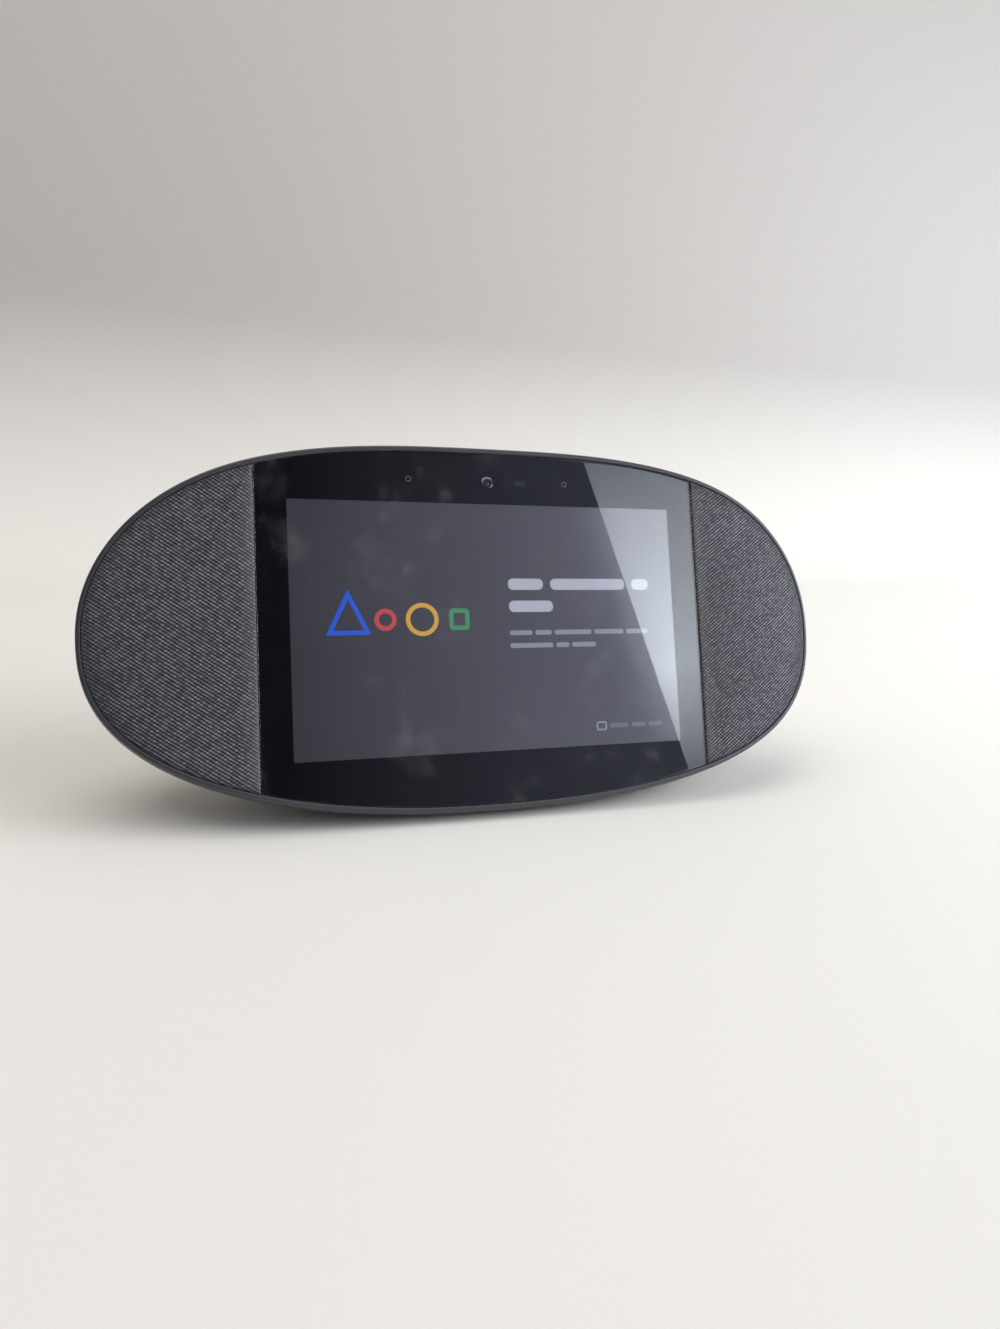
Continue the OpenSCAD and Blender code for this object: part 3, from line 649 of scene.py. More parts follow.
def box_distance(g, x, y, box, corner):
    """Distance from a rounded box (left, bottom, right, top), in mm; negative inside."""
    left, bottom, right, top = box
    dx = g.math("ABSOLUTE", g.math("SUBTRACT", x, (left + right) / 2))
    dy = g.math("ABSOLUTE", g.math("SUBTRACT", y, (bottom + top) / 2))
    dx = g.math("SUBTRACT", dx, (right - left) / 2 - corner)
    dy = g.math("SUBTRACT", dy, (top - bottom) / 2 - corner)
    inside = g.math("MINIMUM", g.math("MAXIMUM", dx, dy), 0)
    dx = g.math("MAXIMUM", dx, 0)
    dy = g.math("MAXIMUM", dy, 0)
    away = g.math("SQRT", g.math("ADD", g.math("MULTIPLY", dx, dx), g.math("MULTIPLY", dy, dy)))
    return g.math("SUBTRACT", g.math("ADD", away, inside), corner)


def point_distance(g, x, y, centre, radius):
    """Distance from a circle, in mm; negative inside."""
    dx = g.math("SUBTRACT", x, centre[0])
    dy = g.math("SUBTRACT", y, centre[1])
    away = g.math("SQRT", g.math("ADD", g.math("MULTIPLY", dx, dx), g.math("MULTIPLY", dy, dy)))
    return g.math("SUBTRACT", away, radius)


def triangle_distance(g, x, y, centre, inner):
    """Distance from the sides of an upright triangle; inner is the radius of its inscribed circle."""
    dx = g.math("ABSOLUTE", g.math("SUBTRACT", x, centre[0]))
    dy = g.math("SUBTRACT", y, centre[1])
    lean = math.radians(26)
    across = g.math("MULTIPLY", dx, math.cos(lean))
    slant = g.math("ADD", across, g.math("MULTIPLY", dy, math.sin(lean)))
    return g.math("SUBTRACT", g.math("MAXIMUM", slant, g.math("MULTIPLY", dy, -1)), inner)


# The picture, in mm on the face: a triangle, two rings and a square, then rows of word-like bars.
# Rings are centre, radius and colour; boxes are left, bottom, right, top. A row is its bars' ends,
# its base, its height and how strongly it shows.
TRIANGLE = ((-62.7, 3.0), 4.9, (0.020, 0.085, 0.62))
RINGS = (((-47.4, 3.4), 3.7, (0.50, 0.060, 0.065)), ((-31.8, 3.4), 6.1, (0.60, 0.34, 0.045)))
SQUARE = ((-19.2, -0.4, -12.2, 7.0), 0.9, (0.040, 0.25, 0.10))
GLYPH_STROKE = 1.9
HEADLINE = (((6.8, 23.0), (26.4, 62.4), (65.8, 74.2)), 16.0, 5.0, 0.62)
SECOND_LINE = (((6.8, 27.2),), 6.2, 5.0, 0.62)
NOTE_LINE = (((6.6, 17.0), (18.4, 26.0), (27.4, 45.0), (46.4, 60.6), (62.0, 72.9)), -4.0, 2.1, 0.32)
LAST_LINE = (((6.6, 26.4), (27.9, 34.0), (35.4, 46.9)), -9.6, 2.1, 0.32)
FOOTER = (((51.5, 60.5), (62.0, 69.0), (70.5, 77.5)), -46.4, 2.0, 0.12)
FOOTER_ICON = (45.4, -47.0, 49.6, -43.7)
ACTIVE_BOX = (-ACTIVE_HALF_W, -ACTIVE_HALF_H, ACTIVE_HALF_W, ACTIVE_HALF_H)


def picture_material():
    """The lit panel: a dim backlit field that is a little uneven, with painted light brightening it
    towards the right, and the picture's shapes.
    """
    g = Graph("lit_panel", Specular_IOR_Level=0.9, IOR=1.55)
    x, y, _z = g.split(g.face())
    field = g.mix(g.noise(70, 1), (0.028, 0.027, 0.034), (0.039, 0.038, 0.047))
    # painted light: the field grows steadily brighter towards the right, the side the window light
    # comes from
    picture = g.mix(g.span(x, -ACTIVE_HALF_W, ACTIVE_HALF_W), field, (0.062, 0.061, 0.075))

    def paint(distance, colour, share=1.0):
        nonlocal picture
        mask = g.math("MULTIPLY", g.span(distance, -0.12, 0.12, 1, 0), share)
        picture = g.mix(mask, picture, colour)

    def outline(distance, colour):
        paint(g.math("SUBTRACT", g.math("ABSOLUTE", distance), GLYPH_STROKE / 2), colour)

    for centre, radius, colour in RINGS:
        outline(point_distance(g, x, y, centre, radius), colour)
    outline(triangle_distance(g, x, y, *TRIANGLE[:2]), TRIANGLE[2])
    outline(box_distance(g, x, y, *SQUARE[:2]), SQUARE[2])
    for words, base, height, share in (HEADLINE, SECOND_LINE, NOTE_LINE, LAST_LINE, FOOTER):
        for left, right in words:
            box = (left, base, right, base + height)
            paint(box_distance(g, x, y, box, height * 0.45), (0.62, 0.64, 0.78), share)
    icon = box_distance(g, x, y, FOOTER_ICON, 0.6)
    paint(g.math("SUBTRACT", g.math("ABSOLUTE", icon), 0.35), (0.55, 0.56, 0.66), 0.4)
    lit = g.span(box_distance(g, x, y, ACTIVE_BOX, 0.2), -0.1, 0.1, 1, 0)
    g.feed(g.shader.inputs["Emission Color"], g.mix(lit, (0.0, 0.0, 0.0), picture))
    g.shader.inputs["Emission Strength"].default_value = 1.0
    g.colour(g.mix(lit, (0.002, 0.002, 0.003), (0.012, 0.012, 0.015)))
    g.rough(g.span(g.noise(40, 2), 0.3, 0.7, 0.10, 0.16))
    return g.material


# The weave's two families of lines on the right wing: spacing in mm, and the angle across them
TWILL = (1.30, math.radians(-55))
CROSSING = (1.24, math.radians(52.5))


def fabric_material():
    """Melange twill: raised dashes in slanted rows, each of its own tone, mirrored on the wings, with
    painted light beside the glass and painted shade at the rim.
    """
    g = Graph("melange_cloth", Sheen_Weight=0.18, Sheen_Roughness=0.5, Specular_IOR_Level=0.2)
    x, y, _z = g.split(g.face())
    x = g.math("ABSOLUTE", x)
    cells = []
    offsets = []
    for (pitch, angle), wander in ((TWILL, 6), (CROSSING, 8)):
        count = g.math("ADD", g.math("MULTIPLY", x, math.cos(angle) / pitch),
                       g.math("MULTIPLY", y, math.sin(angle) / pitch))
        wobble = g.math("MULTIPLY", g.math("SUBTRACT", g.noise(wander, 1), 0.5), 0.3)
        count = g.math("ADD", count, wobble)
        cells.append(g.math("FLOOR", count))
        offsets.append(g.math("SUBTRACT", g.math("MULTIPLY", g.math("FRACT", count), 2), 1))
    row_shape = g.math("SUBTRACT", 1, g.math("POWER", g.math("ABSOLUTE", offsets[0]), 2))
    end_shape = g.math("SUBTRACT", 1, g.math("POWER", g.math("ABSOLUTE", offsets[1]), 3))
    height = g.math("MULTIPLY", row_shape, g.math("ADD", 0.4, g.math("MULTIPLY", end_shape, 0.6)))
    tone = g.random(g.combine(*cells, 0.0))
    fibres = g.noise(0.35, 2)
    yarn = g.mix(g.span(tone, 0, 1, 0.35, 1.0), (0.030, 0.030, 0.038), (0.272, 0.272, 0.296))
    yarn = g.mix(g.span(fibres, 0.35, 0.75, 0, 0.3), yarn, (0.060, 0.061, 0.072))
    cloth = g.mix(g.span(height, 0.30, 0.88), (0.002, 0.002, 0.005), yarn)

    # painted light: paler and warmer beside the glass; painted shade: darker at the rim
    painted_edge_light = g.span(x, WING_START, WING_START + 7, 1, 0)
    cloth = g.mix(g.math("MULTIPLY", painted_edge_light, 0.35), cloth, (0.165, 0.155, 0.145))
    # painted shade: the cloth darkens towards the outer rim, where it rolls into shadow
    above = g.math("GREATER_THAN", y, 0)
    p = g.span(above, 0, 1, LOW_P, OVAL_P)
    q = g.span(above, 0, 1, LOW_Q, OVAL_Q)
    wide = g.math("POWER", g.math("DIVIDE", x, LIP_HALF_W), p)
    tall = g.math("POWER", g.math("DIVIDE", g.math("ABSOLUTE", y), LIP_HALF_H), q)
    painted_rim_shade = g.span(g.math("ADD", wide, tall), 0.86, 0.96)
    cloth = g.mix(g.math("MULTIPLY", painted_rim_shade, 0.45), cloth, (0.020, 0.022, 0.030))
    worn = g.span(g.noise(45, 3), 0.35, 0.7, 0.92, 1.06)
    tinted = g.node("ShaderNodeVectorMath", operation="SCALE")
    g.feed(tinted.inputs[0], cloth)
    g.feed(tinted.inputs["Scale"], worn)
    g.colour(tinted.outputs[0])
    g.rough(g.span(fibres, 0.3, 0.7, 0.82, 0.95))
    first = g.bump(height, 0.22, 0.7)
    g.bump(fibres, 0.06, 0.5, after=first)
    return g.material


# ---------------------------------------------------------------- pieces on the front


def make_bezel():
    outer = [
        (-LIP_W, 0.9), (-LIP_W, 0.0), (-1.55, -0.4), (-0.9, -0.46), (-0.25, -0.4), (0.15, 0.0),
        (0.45, 0.7), (0.9, 1.8), (1.3, 3.2), (1.6, 4.8), (1.82, 6.6), (FLARE, RING_BACK - 0.25),
        (FLARE - 0.12, RING_BACK),
    ]
    smooth = rounded(outer, 3)
    back = [
        (-1.7, RING_BACK), (-1.7, DECK_BACK + 1.4), (-3.6, DECK_BACK + 1.4),
        (-3.6, DECK_BACK), (-LIP_W, DECK_BACK),
    ]
    obj = band("bezel", [*smooth, *back], bezel_material(), OUTLINE_POINTS, crease=40)
    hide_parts("bezel_ring")
    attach(obj, "housing")


def inner_outline():
    """The oval just inside the ring's lip, which the glass and the cloth share."""
    return oval(LIP_HALF_W - INSET, LIP_HALF_H - INSET, even_angles(OUTLINE_POINTS))


def glass_outline():
    outline = clip(inner_outline(), 0, GLASS_HALF_W, False)
    outline = clip(outline, 0, -GLASS_HALF_W, True)
    return refine(outline, OUTLINE_STEP)


def microphone_cutters(low, high):
    spots = [np.array([side * MIC_X, CAMERA_Y]) for side in (-1, 1)]
    return [prism(circle(MIC_HOLE_R, 32) + spot, low, high, on_flat) for spot in spots]


def make_glass():
    edge = [
        (0.6, 1.06), (0.12, 1.06), (0.0, 0.96), (0.0, 0.34), (0.05, 0.18), (0.14, 0.07),
        (0.26, 0.015), (0.4, 0.0), (0.8, 0.0),
    ]
    pane = plate("glass_pane", glass_outline(), edge, on_flat, None)
    boolean(pane, microphone_cutters(-1, 3), solver="EXACT")
    dress(pane, glass_material())
    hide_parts("cover_glass")
    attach(pane, "housing")

    print_depths = [(0, GLASS_T - 0.005), (0, GLASS_T - 0.03)]
    ink = plate("border_print", inward(glass_outline(), 0.1), print_depths, on_flat, None)
    screen = np.array([[1, 1], [-1, 1], [-1, -1], [1, -1]]) * [ACTIVE_HALF_W, ACTIVE_HALF_H]
    cuts = [
        prism(screen, 0, 3, on_flat),
        prism(circle(CAMERA_WINDOW_R, 64) + [0, CAMERA_Y], 0, 3, on_flat),
        prism(racetrack(2.6, 1.1) + [SENSOR_X, CAMERA_Y - 0.3], 0, 3, on_flat),
    ]
    boolean(ink, cuts + microphone_cutters(0, 3), solver="EXACT")
    dress(ink, ink_material())
    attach(ink, "housing")


def make_camera_trim():
    """Bright ring round the lens, sloping in towards it, behind the shutter's path."""
    section = [(2.78, 2.8), (2.78, 2.36), (2.62, 2.24), (2.46, 2.3), (1.9, 2.72), (1.84, 2.8)]
    steps = 96
    rings = []
    for radius, depth in rounded(section, 2):
        spots = circle(radius, steps) + [0, CAMERA_Y]
        rings.append(np.column_stack([spots, np.full(steps, depth)]))
    rings.append(rings[0])
    faces = ring_faces(len(rings), steps)
    material = metal("trim_plating", (0.34, 0.34, 0.36), 0.24)
    obj = mesh_object("camera_trim", on_flat(np.concatenate(rings)), faces, material)
    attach(obj, "housing")


def wing_outline(side):
    outline = clip(inner_outline(), 0, side * (WING_START + 0.15), side > 0)
    return refine(outline, OUTLINE_STEP)


def outline_area(outline):
    x, y = outline[:, 0], outline[:, 1]
    return abs((x * np.roll(y, -1) - np.roll(x, -1) * y).sum()) / 2


def make_wings():
    cloth = fabric_material()
    # the cloth rolls over the carrier's edge and goes down beside it
    edge = [
        (1.1, 0.66), (0.5, 0.68), (0.08, 0.62), (0.0, 0.5), (0.02, 0.3), (0.1, 0.1),
        (0.26, -0.07), (0.5, -0.19), (0.85, -0.265), (1.3, -0.3), (2.2, -0.3),
    ]
    for side, word in ((-1, "left"), (1, "right")):
        outline = wing_outline(side)
        obj = plate(f"{word}_cloth", outline, edge, on_face, cloth, rings=26)
        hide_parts(f"{word}_fabric")
        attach(obj, "housing")
        area = outline_area(inward(outline, -CLOTH_WRAP)) * MM * MM


# ---------------------------------------------------------------- pieces behind


def dome_solid(shrink, lead, rings, count, floor):
    """A closed solid inside the dome's surface, flat underneath at height floor."""
    angles = even_angles(count)
    steps = np.sin(np.arange(rings + 1) / rings * math.radians(87)) ** (2 / SIDE_FULLNESS)
    loops = [dome_point(angles, 0.0, shrink, lead)] if lead else []
    loops += [dome_point(angles, tau, shrink) for tau in steps]
    points = np.concatenate(loops)
    points[:, 2] = np.maximum(points[:, 2], floor)
    n = len(loops)
    faces = ring_faces(n, count)
    # the ends are closed by strips across, from the top half of the ring to the bottom half
    for start in (0, (n - 1) * count):
        for i in range(count // 2):
            j = (count - i) % count
            k = count - i - 1
            corners = [start + i, start + i + 1, start + k, start + j]
            kept = list(dict.fromkeys(corners))
            if len(kept) > 2:
                faces.append(tuple(kept))
    return mesh_object("dome", points * MM, faces, None)


def make_shell():
    count, rings = 384, 56
    shell = dome_solid(0, 0, rings, count, FOOT_T)
    shell.name = "back_shell"
    void = dome_solid(SHELL_WALL, 1.0, rings, count, 4)
    flange = racetrack(RAD_HALF_L + RAD_FLANGE, RAD_HALF_H + RAD_FLANGE)
    seat = prism(flange, RAD_SEAT, 120, rear_at())
    cup = prism(circle(POCKET_R + 2.2), JACK_FLOOR - 2.5, 100, rear_at(JACK_X, JACK_Z))
    boolean(void, [seat, cup])
    mute_slot = np.array([[1, 1], [-1, 1], [-1, -1], [1, -1]]) * MUTE_SLOT
    knob_top = top_frame(SHUTTER_X + SHUTTER_TRAVEL / 2, KNOB_TAU)
    mute_top = top_frame(MUTE_X, TOP_TAU)
    cuts = [
        void,
        prism(racetrack(RAD_HALF_L, RAD_HALF_H, 48), RAD_SEAT - 5, 130, rear_at()),
        prism(circle(POCKET_R, 72), JACK_FLOOR, 100, rear_at(JACK_X, JACK_Z)),
        prism(circle(JACK_BORE_R, 48), JACK_FLOOR - 10, JACK_FLOOR + 2, rear_at(JACK_X, JACK_Z)),
        prism(racetrack(*SHUTTER_TRACK), -0.6, 4, knob_top),
        prism(racetrack(*BUTTON_HOLE), -7, 4, top_frame(-VOLUME_X, TOP_TAU)),
        prism(racetrack(*BUTTON_HOLE), -7, 4, top_frame(VOLUME_X, TOP_TAU)),
        prism(racetrack(*MUTE_RECESS), -1.2 - top_fall(MUTE_X), 6, mute_top),
        prism(mute_slot, -6, 6, mute_top),
    ]
    boolean(shell, cuts, crease=30)
    # the slot for the blade's stem, through the wall under the shutter's knob
    stem_gap = 1.9
    slot = np.array([[1, 1], [0, 1], [0, 0], [1, 0]]) * [SHUTTER_TRAVEL + 2 * stem_gap, 12]
    slot = slot + [SHUTTER_X - stem_gap, LIP_HALF_H - 6]
    boolean(shell, [prism(slot, 11.2, 13.2, on_flat)], crease=30)
    dress(shell, moulded("shell_plastic", (0.040, 0.041, 0.045), 0.62, grain=0.45, depth=0.05))
    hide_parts("rear_shell")
    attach(shell, "housing")


def roll_section():
    """The rubber roll's section, as [out from the diaphragm's edge, up from the seat]."""
    steps = 16
    base = 1.02
    rim_w = 0.8
    rim_t = 0.5
    rim_angle = math.asin(rim_t / ROLL_R)
    over = [math.pi + (rim_angle - math.pi) * k / steps for k in range(steps + 1)]
    under = [math.pi * k / steps for k in range(steps + 1)]
    inner_r = ROLL_R - ROLL_T
    section = [(ROLL_R + ROLL_R * math.cos(a), base + ROLL_R * math.sin(a)) for a in over]
    section += [(2 * ROLL_R + rim_w, base + rim_t), (2 * ROLL_R + rim_w, base)]
    section += [(ROLL_R + inner_r * math.cos(a), base + inner_r * math.sin(a)) for a in under]
    return section


def roll_sector(name, centre_x, start, end, aim, material):
    """A length of the roll, from start to end, each an [x, up] centre and the angle out of it.
    """
    section = roll_section()
    steps = 6
    rings = []
    for k in range(steps + 1):
        share = k / steps
        origin = start[0] * (1 - share) + end[0] * share
        angle = start[1] * (1 - share) + end[1] * share
        out = np.array([math.cos(angle), math.sin(angle)])
        rings += [[*(origin + out * (DIAPHRAGM_HALF_H + o)), RAD_SEAT + d] for o, d in section]
    n = len(section)
    faces = ring_faces(steps + 1, n) + [tuple(range(n)), tuple(range(steps * n, (steps + 1) * n))]
    obj = mesh_object(name, rear_at()(np.array(rings)), faces, material)
    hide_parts("radiator_surround")
    direction = np.array([math.cos(aim), math.sin(aim)])
    for radius in (DIAPHRAGM_HALF_H, DIAPHRAGM_HALF_H + 2 * ROLL_R):
        x, up = np.array([centre_x, 0]) + direction * radius
        Vector(rear_at()(np.array([x, up, RAD_SEAT])))
    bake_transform(obj)


def make_roll(material):
    """The roll round the diaphragm, in sectors: straight ones above and below, curved ones at the
    ends.
    """
    half = DIAPHRAGM_HALF_L - DIAPHRAGM_HALF_H
    ends = [np.array([-half, 0.0]), np.array([half, 0.0])]
    for word, aim in (("upper", math.pi / 2), ("lower", -math.pi / 2)):
        roll_sector(f"roll_{word}", 0, (ends[0], aim), (ends[1], aim), aim, material)
    count = 10
    for side, word in ((-1, "left"), (1, "right")):
        for k in range(count):
            first = math.pi / 2 - side * math.pi * k / count
            last = first - side * math.pi / count
            centre = np.array([side * half, 0.0])
            roll_sector(f"roll_{word}_{k + 1}", side * half, (centre, first), (centre, last),
                        (first + last) / 2, material)


def make_foot():
    count = 240
    outline = superellipse(FOOT_HALF_L, FOOT_HALF_D, np.arange(count) * 2 * math.pi / count)
    profile = [(0.6, 0.0), (0.25, 0.08), (0.06, 0.28), (0.0, 0.6), (0.0, FOOT_T)]
    rubber = speckled("foot_rubber", (0.020, 0.020, 0.021), 0.8, size=0.8)
    obj = plate("foot_pad", outline, profile, upright_at(FOOT_Y), rubber)
    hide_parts("rubber_foot")
    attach(obj, "housing")


def make_inlet_pin():
    mouth = JACK_FLOOR + 0.3
    shape = [(0.5, -8.6), (0, -8.6), (0, -1.2), (0.18, -0.75), (0.45, -0.5)]
    profile = [(inset, mouth + depth) for inset, depth in shape]
    plating = metal("pin_plating", (0.72, 0.70, 0.66), 0.25)
    obj = plate("inlet_pin", circle(0.95, 40), profile, rear_at(JACK_X, JACK_Z), plating)
    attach(obj, "housing")


# ---------------------------------------------------------------- carried-over CAD nodes

FINISHES = {
    "foam": lambda: speckled("foam_gasket", (0.012, 0.012, 0.013), 0.9, size=0.6),
    "sheet_metal": lambda: metal("stamped_steel", (0.55, 0.55, 0.57), 0.4, (8, 1, 1)),
    "frame": lambda: moulded("frame_plastic", (0.022, 0.022, 0.025), 0.55),
    "module": lambda: moulded("module_black", (0.012, 0.012, 0.013), 0.5),
    "light_pipe": lambda: moulded("smoked_window", (0.028, 0.028, 0.034), 0.25),
    "board": lambda: circuit("solder_mask", (0.010, 0.075, 0.040), (0.10, 0.28, 0.10)),
    "shutter": lambda: moulded("shutter_black", (0.022, 0.022, 0.024), 0.45),
    "grille": lambda: moulded("grille_plastic", (0.010, 0.010, 0.011), 0.6),
    "basket": lambda: speckled("glass_filled", (0.022, 0.022, 0.024), 0.55, size=0.9),
    "ferrite": lambda: speckled("ferrite", (0.050, 0.050, 0.055), 0.5, size=0.5, amount=0.35),
    "steel": lambda: metal("zinc_plate", (0.62, 0.62, 0.60), 0.32, (1, 1, 6)),
    "cone": lambda: speckled("pulp_cone", (0.022, 0.022, 0.024), 0.8, size=0.7, amount=0.3),
    "coil": lambda: wound("copper_wire", (0.70, 0.30, 0.13), 0.3, 0.05, Metallic=0.9),
    "surround": lambda: speckled("rubber_roll", (0.014, 0.014, 0.015), 0.55, size=0.5),
    "spider": lambda: wound("treated_cloth", (0.50, 0.34, 0.12), 1.2, 0.15),
    "radiator": lambda: moulded("radiator_panel", (0.030, 0.030, 0.033), 0.42, grain=0.6),
    "button": lambda: moulded("button_rubber", (0.055, 0.057, 0.062), 0.5, grain=0.4),
    "mute_mark": lambda: moulded("mute_mark", (0.42, 0.075, 0.045), 0.45),
    "flex": lambda: circuit("flex_film", (0.50, 0.22, 0.035), (0.75, 0.42, 0.12), 0.6),
    "spreader": lambda: metal("cast_aluminium", (0.72, 0.72, 0.74), 0.45),
}


def lens_material():
    """Coated lens: near black, with a bluish coating that shows in its reflection."""
    g = Graph("coated_lens", IOR=1.6, Coat_Weight=1.0, Coat_Roughness=0.03)
    g.colour(g.mix(g.noise(1.2, 1), (0.006, 0.006, 0.012), (0.014, 0.010, 0.022)))
    g.rough(g.span(g.noise(0.6, 1), 0.3, 0.7, 0.04, 0.09))
    return g.material


SOFTENED = {
    "volume_down_button": 0.45, "volume_up_button": 0.45, "mute_knob": 0.3, "shutter_knob": 0.3,
    "radiator_diaphragm": 0.5, "radiator_frame": 0.5, "dc_jack": 0.25, "main_board": 0.15,
    "left_basket": 0.3, "right_basket": 0.3, "camera_module": 0.25, "radiator_weight": 0.4,
}


def finish_nodes(slots):
    made = {name: make() for name, make in FINISHES.items()}
    made["lens"] = lens_material()
    made["lcd"] = picture_material()
    for name, node in NODES.items():
        slot = slots[name]
        if not node.hide_render:
            node.data.materials.clear()
            node.data.materials.append(made[slot])
        if name in SOFTENED:
            soften(node, SOFTENED[name])


# ---------------------------------------------------------------- stage


def aimed(right, back, at):
    """The matrix of a camera or light at a point, with its right and back directions."""
    turned = Matrix((right, back.cross(right), back)).transposed().to_4x4()
    turned.translation = at
    return turned


CAMERA_LENS = 21.694
CAMERA_AT = (-0.0961, -0.3478, 0.1545)
CAMERA_RIGHT = (0.9593, -0.2779, 0.0509)
CAMERA_BACK = (-0.2813, -0.9223, 0.2649)


def make_camera():
    data = bpy.data.cameras.new("camera")
    data.lens = CAMERA_LENS
    data.sensor_width = 36
    data.clip_start = 0.01
    obj = bpy.data.objects.new("camera", data)
    bpy.context.scene.collection.objects.link(obj)
    right = Vector(CAMERA_RIGHT).normalized()
    back = Vector(CAMERA_BACK)
    back = (back - right * back.dot(right)).normalized()
    obj.matrix_world = aimed(right, back, Vector(CAMERA_AT))
    bpy.context.scene.camera = obj
    return obj


def area_light(name, centre, target, size, radiance, colour, up=(0, 0, 1), glossy=True):
    width, height = size
    data = bpy.data.lights.new(name, "AREA")
    data.shape = "RECTANGLE"
    data.size, data.size_y = width, height
    data.energy = radiance * math.pi * width * height
    data.color = colour
    obj = bpy.data.objects.new(name, data)
    bpy.context.scene.collection.objects.link(obj)
    back = (Vector(centre) - Vector(target)).normalized()
    right = Vector(up).cross(back).normalized()
    obj.matrix_world = aimed(right, back, Vector(centre))
    obj.visible_glossy = glossy
    return obj


# Where the window's left edge shows in the glass, at its top and its bottom, in mm on the face
WINDOW_EDGE = ((45.6, 74.2), (89.6, -69.0))


def window_light(camera):
    """A tall soft window on the right, placed by mirroring the camera in the glass.

    Its left edge then shows in the glass as a slanted line from top to bottom.
    """
    normal = Vector((0, -math.cos(LEAN), math.sin(LEAN)))
    middle = Vector((0, FACE_Y, FACE_Z)) * MM
    eye = camera.matrix_world.translation
    mirrored = eye - 2 * (eye - middle).dot(normal) * normal
    ends = [Vector(to_row([x, y, 0])) for x, y in WINDOW_EDGE]
    rays = [(end - mirrored).normalized() for end in ends]
    ahead = (rays[0] + rays[1]).normalized()
    far = 1.5
    marks = [mirrored + ray * (far / ray.dot(ahead)) for ray in rays]
    up = (marks[0] - marks[1]).normalized()
    right = up.cross(ahead).normalized()
    width, height = 2.6, 1.5
    centre = (marks[0] + marks[1]) / 2 + right * width / 2
    sky = (0.86, 0.92, 1.0)
    window = area_light("window", centre, centre - ahead, (width, height), 4.7, sky, up=up)

    # brightest a little under its middle, like the sky between a sill and a blind
    window.data.use_nodes = True
    tree = window.data.node_tree
    height_at = tree.nodes.new("ShaderNodeSeparateXYZ")
    geometry = tree.nodes.new("ShaderNodeNewGeometry")
    tree.links.new(geometry.outputs["Parametric"], height_at.inputs[0])
    parts = []
    for dim, bright in ((0.72, 0.43), (0.30, 0.43)):
        ramp = tree.nodes.new("ShaderNodeMapRange")
        tree.links.new(height_at.outputs[1], ramp.inputs[0])
        for socket, number in zip(list(ramp.inputs)[1:5], (dim, bright, 0.25, 1.0)):
            socket.default_value = number
        parts.append(ramp.outputs[0])
    both = tree.nodes.new("ShaderNodeMath")
    both.operation = "MULTIPLY"
    for part, socket in zip(parts, both.inputs):
        tree.links.new(part, socket)
    tree.links.new(both.outputs[0], tree.nodes["Emission"].inputs["Strength"])


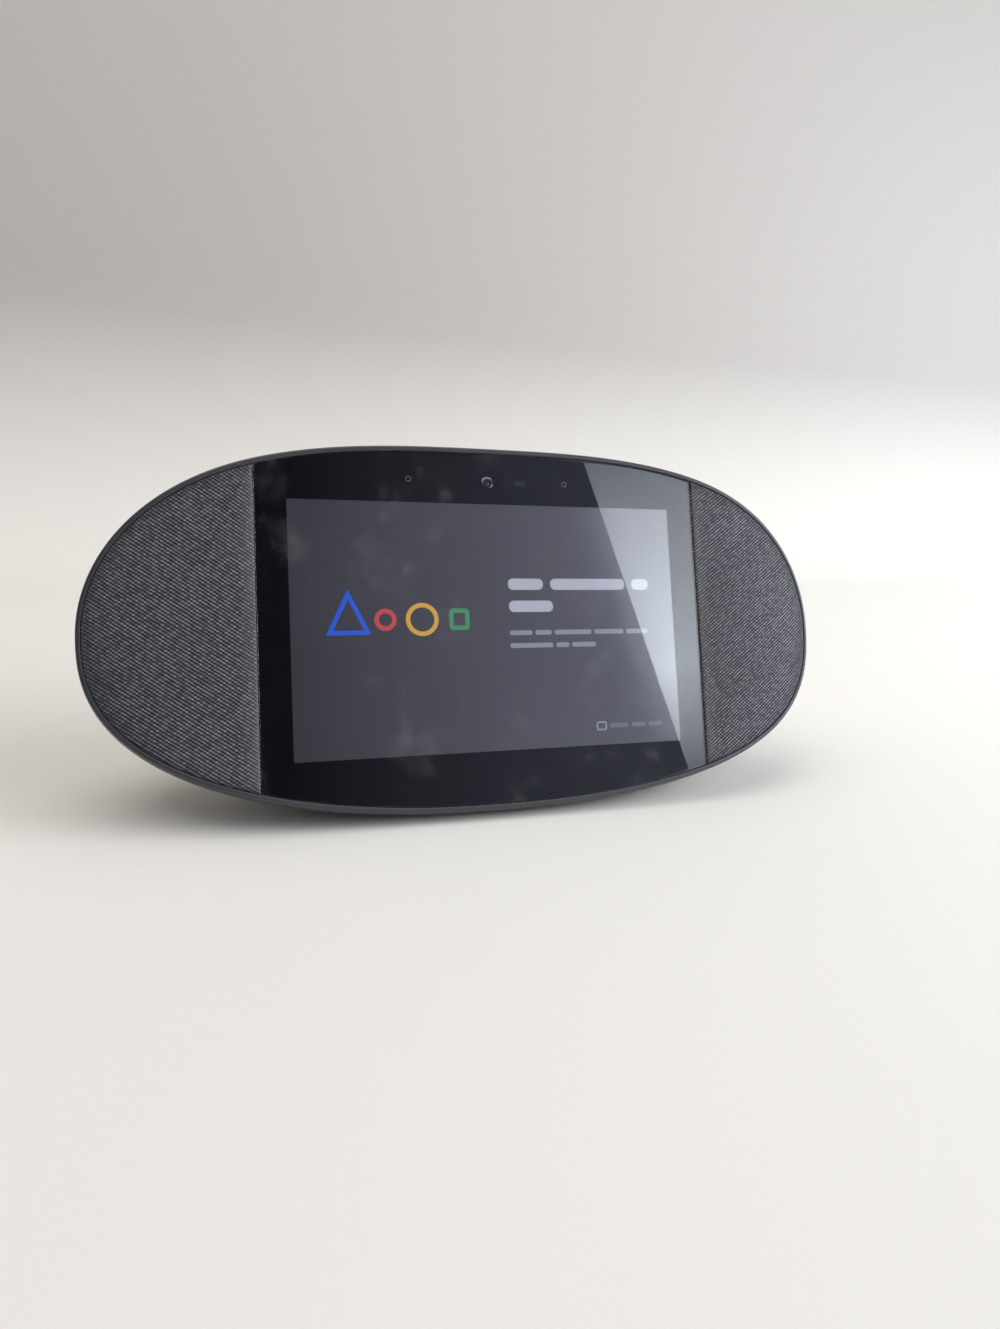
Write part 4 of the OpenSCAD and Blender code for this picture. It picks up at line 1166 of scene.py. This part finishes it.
def make_stage():
    # a sheet of paper: the floor, a curve up behind the object, and the wall
    bend_from, bend_r = 0.52, 0.34
    arc = []
    for a in np.linspace(0, math.pi / 2, 28):
        arc.append((bend_from + bend_r * math.sin(a), bend_r * (1 - math.cos(a))))
    line = [(-2.6, 0.0), (0.0, 0.0), *arc, (bend_from + bend_r, 2.6)]
    points = [(x, y, z) for y, z in line for x in (-3.2, 3.2)]
    faces = [(2 * k, 2 * k + 1, 2 * k + 3, 2 * k + 2) for k in range(len(line) - 1)]
    g = Graph("studio_paper", Specular_IOR_Level=0.2)
    up = g.span(g.split(g.place)[2], 0.0, 0.3)
    g.colour(g.mix(up, (0.765, 0.74, 0.68), (0.43, 0.408, 0.382)))
    g.rough(g.span(g.noise(60, 2), 0.3, 0.7, 0.62, 0.70))
    mesh_object("paper", points, faces, g.material)

    # a plain wall all round, for the other views; it neither lights the object nor shows in it
    wall_r, panels = 2.9, 48
    turn = [k * 2 * math.pi / panels for k in range(panels + 1)]
    points = [(wall_r * math.cos(a), wall_r * math.sin(a), z) for z in (-0.5, 2.6) for a in turn]
    faces = [(k, k + 1, k + panels + 2, k + panels + 1) for k in range(panels)]
    g = Graph("surround_paint", Specular_IOR_Level=0.2)
    g.colour(g.mix(g.noise(300, 2), (0.84, 0.83, 0.80), (0.88, 0.87, 0.84)))
    g.rough(g.span(g.noise(60, 2), 0.3, 0.7, 0.7, 0.8))
    wall = mesh_object("surround_wall", points, faces, g.material)
    wall.visible_glossy = False
    wall.visible_diffuse = False
    wall.visible_transmission = False
    wall.visible_shadow = False


def make_world():
    """Dim and even towards the viewer's left, brighter to the right and behind."""
    world = bpy.data.worlds.new("studio")
    bpy.context.scene.world = world
    world.use_nodes = True
    tree = world.node_tree
    place = tree.nodes.new("ShaderNodeTexCoord")
    split = tree.nodes.new("ShaderNodeSeparateXYZ")
    ramp = tree.nodes.new("ShaderNodeMapRange")
    for socket, number in zip(list(ramp.inputs)[1:5], (0.02, 0.42, 0.055, 0.46)):
        socket.default_value = number
    back = tree.nodes["Background"]
    back.inputs["Color"].default_value = (0.70, 0.74, 1.0, 1)
    tree.links.new(place.outputs["Generated"], split.inputs[0])
    tree.links.new(split.outputs[0], ramp.inputs[0])
    tree.links.new(ramp.outputs[0], back.inputs["Strength"])


def make_lights(camera):
    window_light(camera)
    warm = (1.0, 0.97, 0.93)
    cool = (0.95, 0.97, 1.0)
    area_light("ceiling", (-0.3, 0.2, 1.6), (-0.2, 0.1, 0), (2.2, 1.2), 2.1, warm)
    area_light("fill", (-1.0, -1.5, 0.9), (0, 0, 0.05), (1.2, 1.2), 0.2, warm, glossy=False)
    area_light("left", (-1.3, 0.35, 0.8), (-0.2, 0, 0), (1.2, 1.0), 1.1, warm, glossy=False)
    area_light("side", (1.5, -0.45, 0.6), (0, 0, 0.08), (0.7, 0.8), 10.5, cool, glossy=False)


SLOTS = {part["node"]: part["material_slot"] for part in frame["record"]["subparts"]}


def main():
    camera = make_camera()
    bpy.context.scene.view_settings.view_transform = "Standard"
    make_bezel()
    make_glass()
    make_camera_trim()
    make_wings()
    make_shell()
    make_foot()
    make_inlet_pin()
    make_roll(FINISHES["surround"]())
    finish_nodes(SLOTS)
    make_stage()
    make_world()
    make_lights(camera)


main()
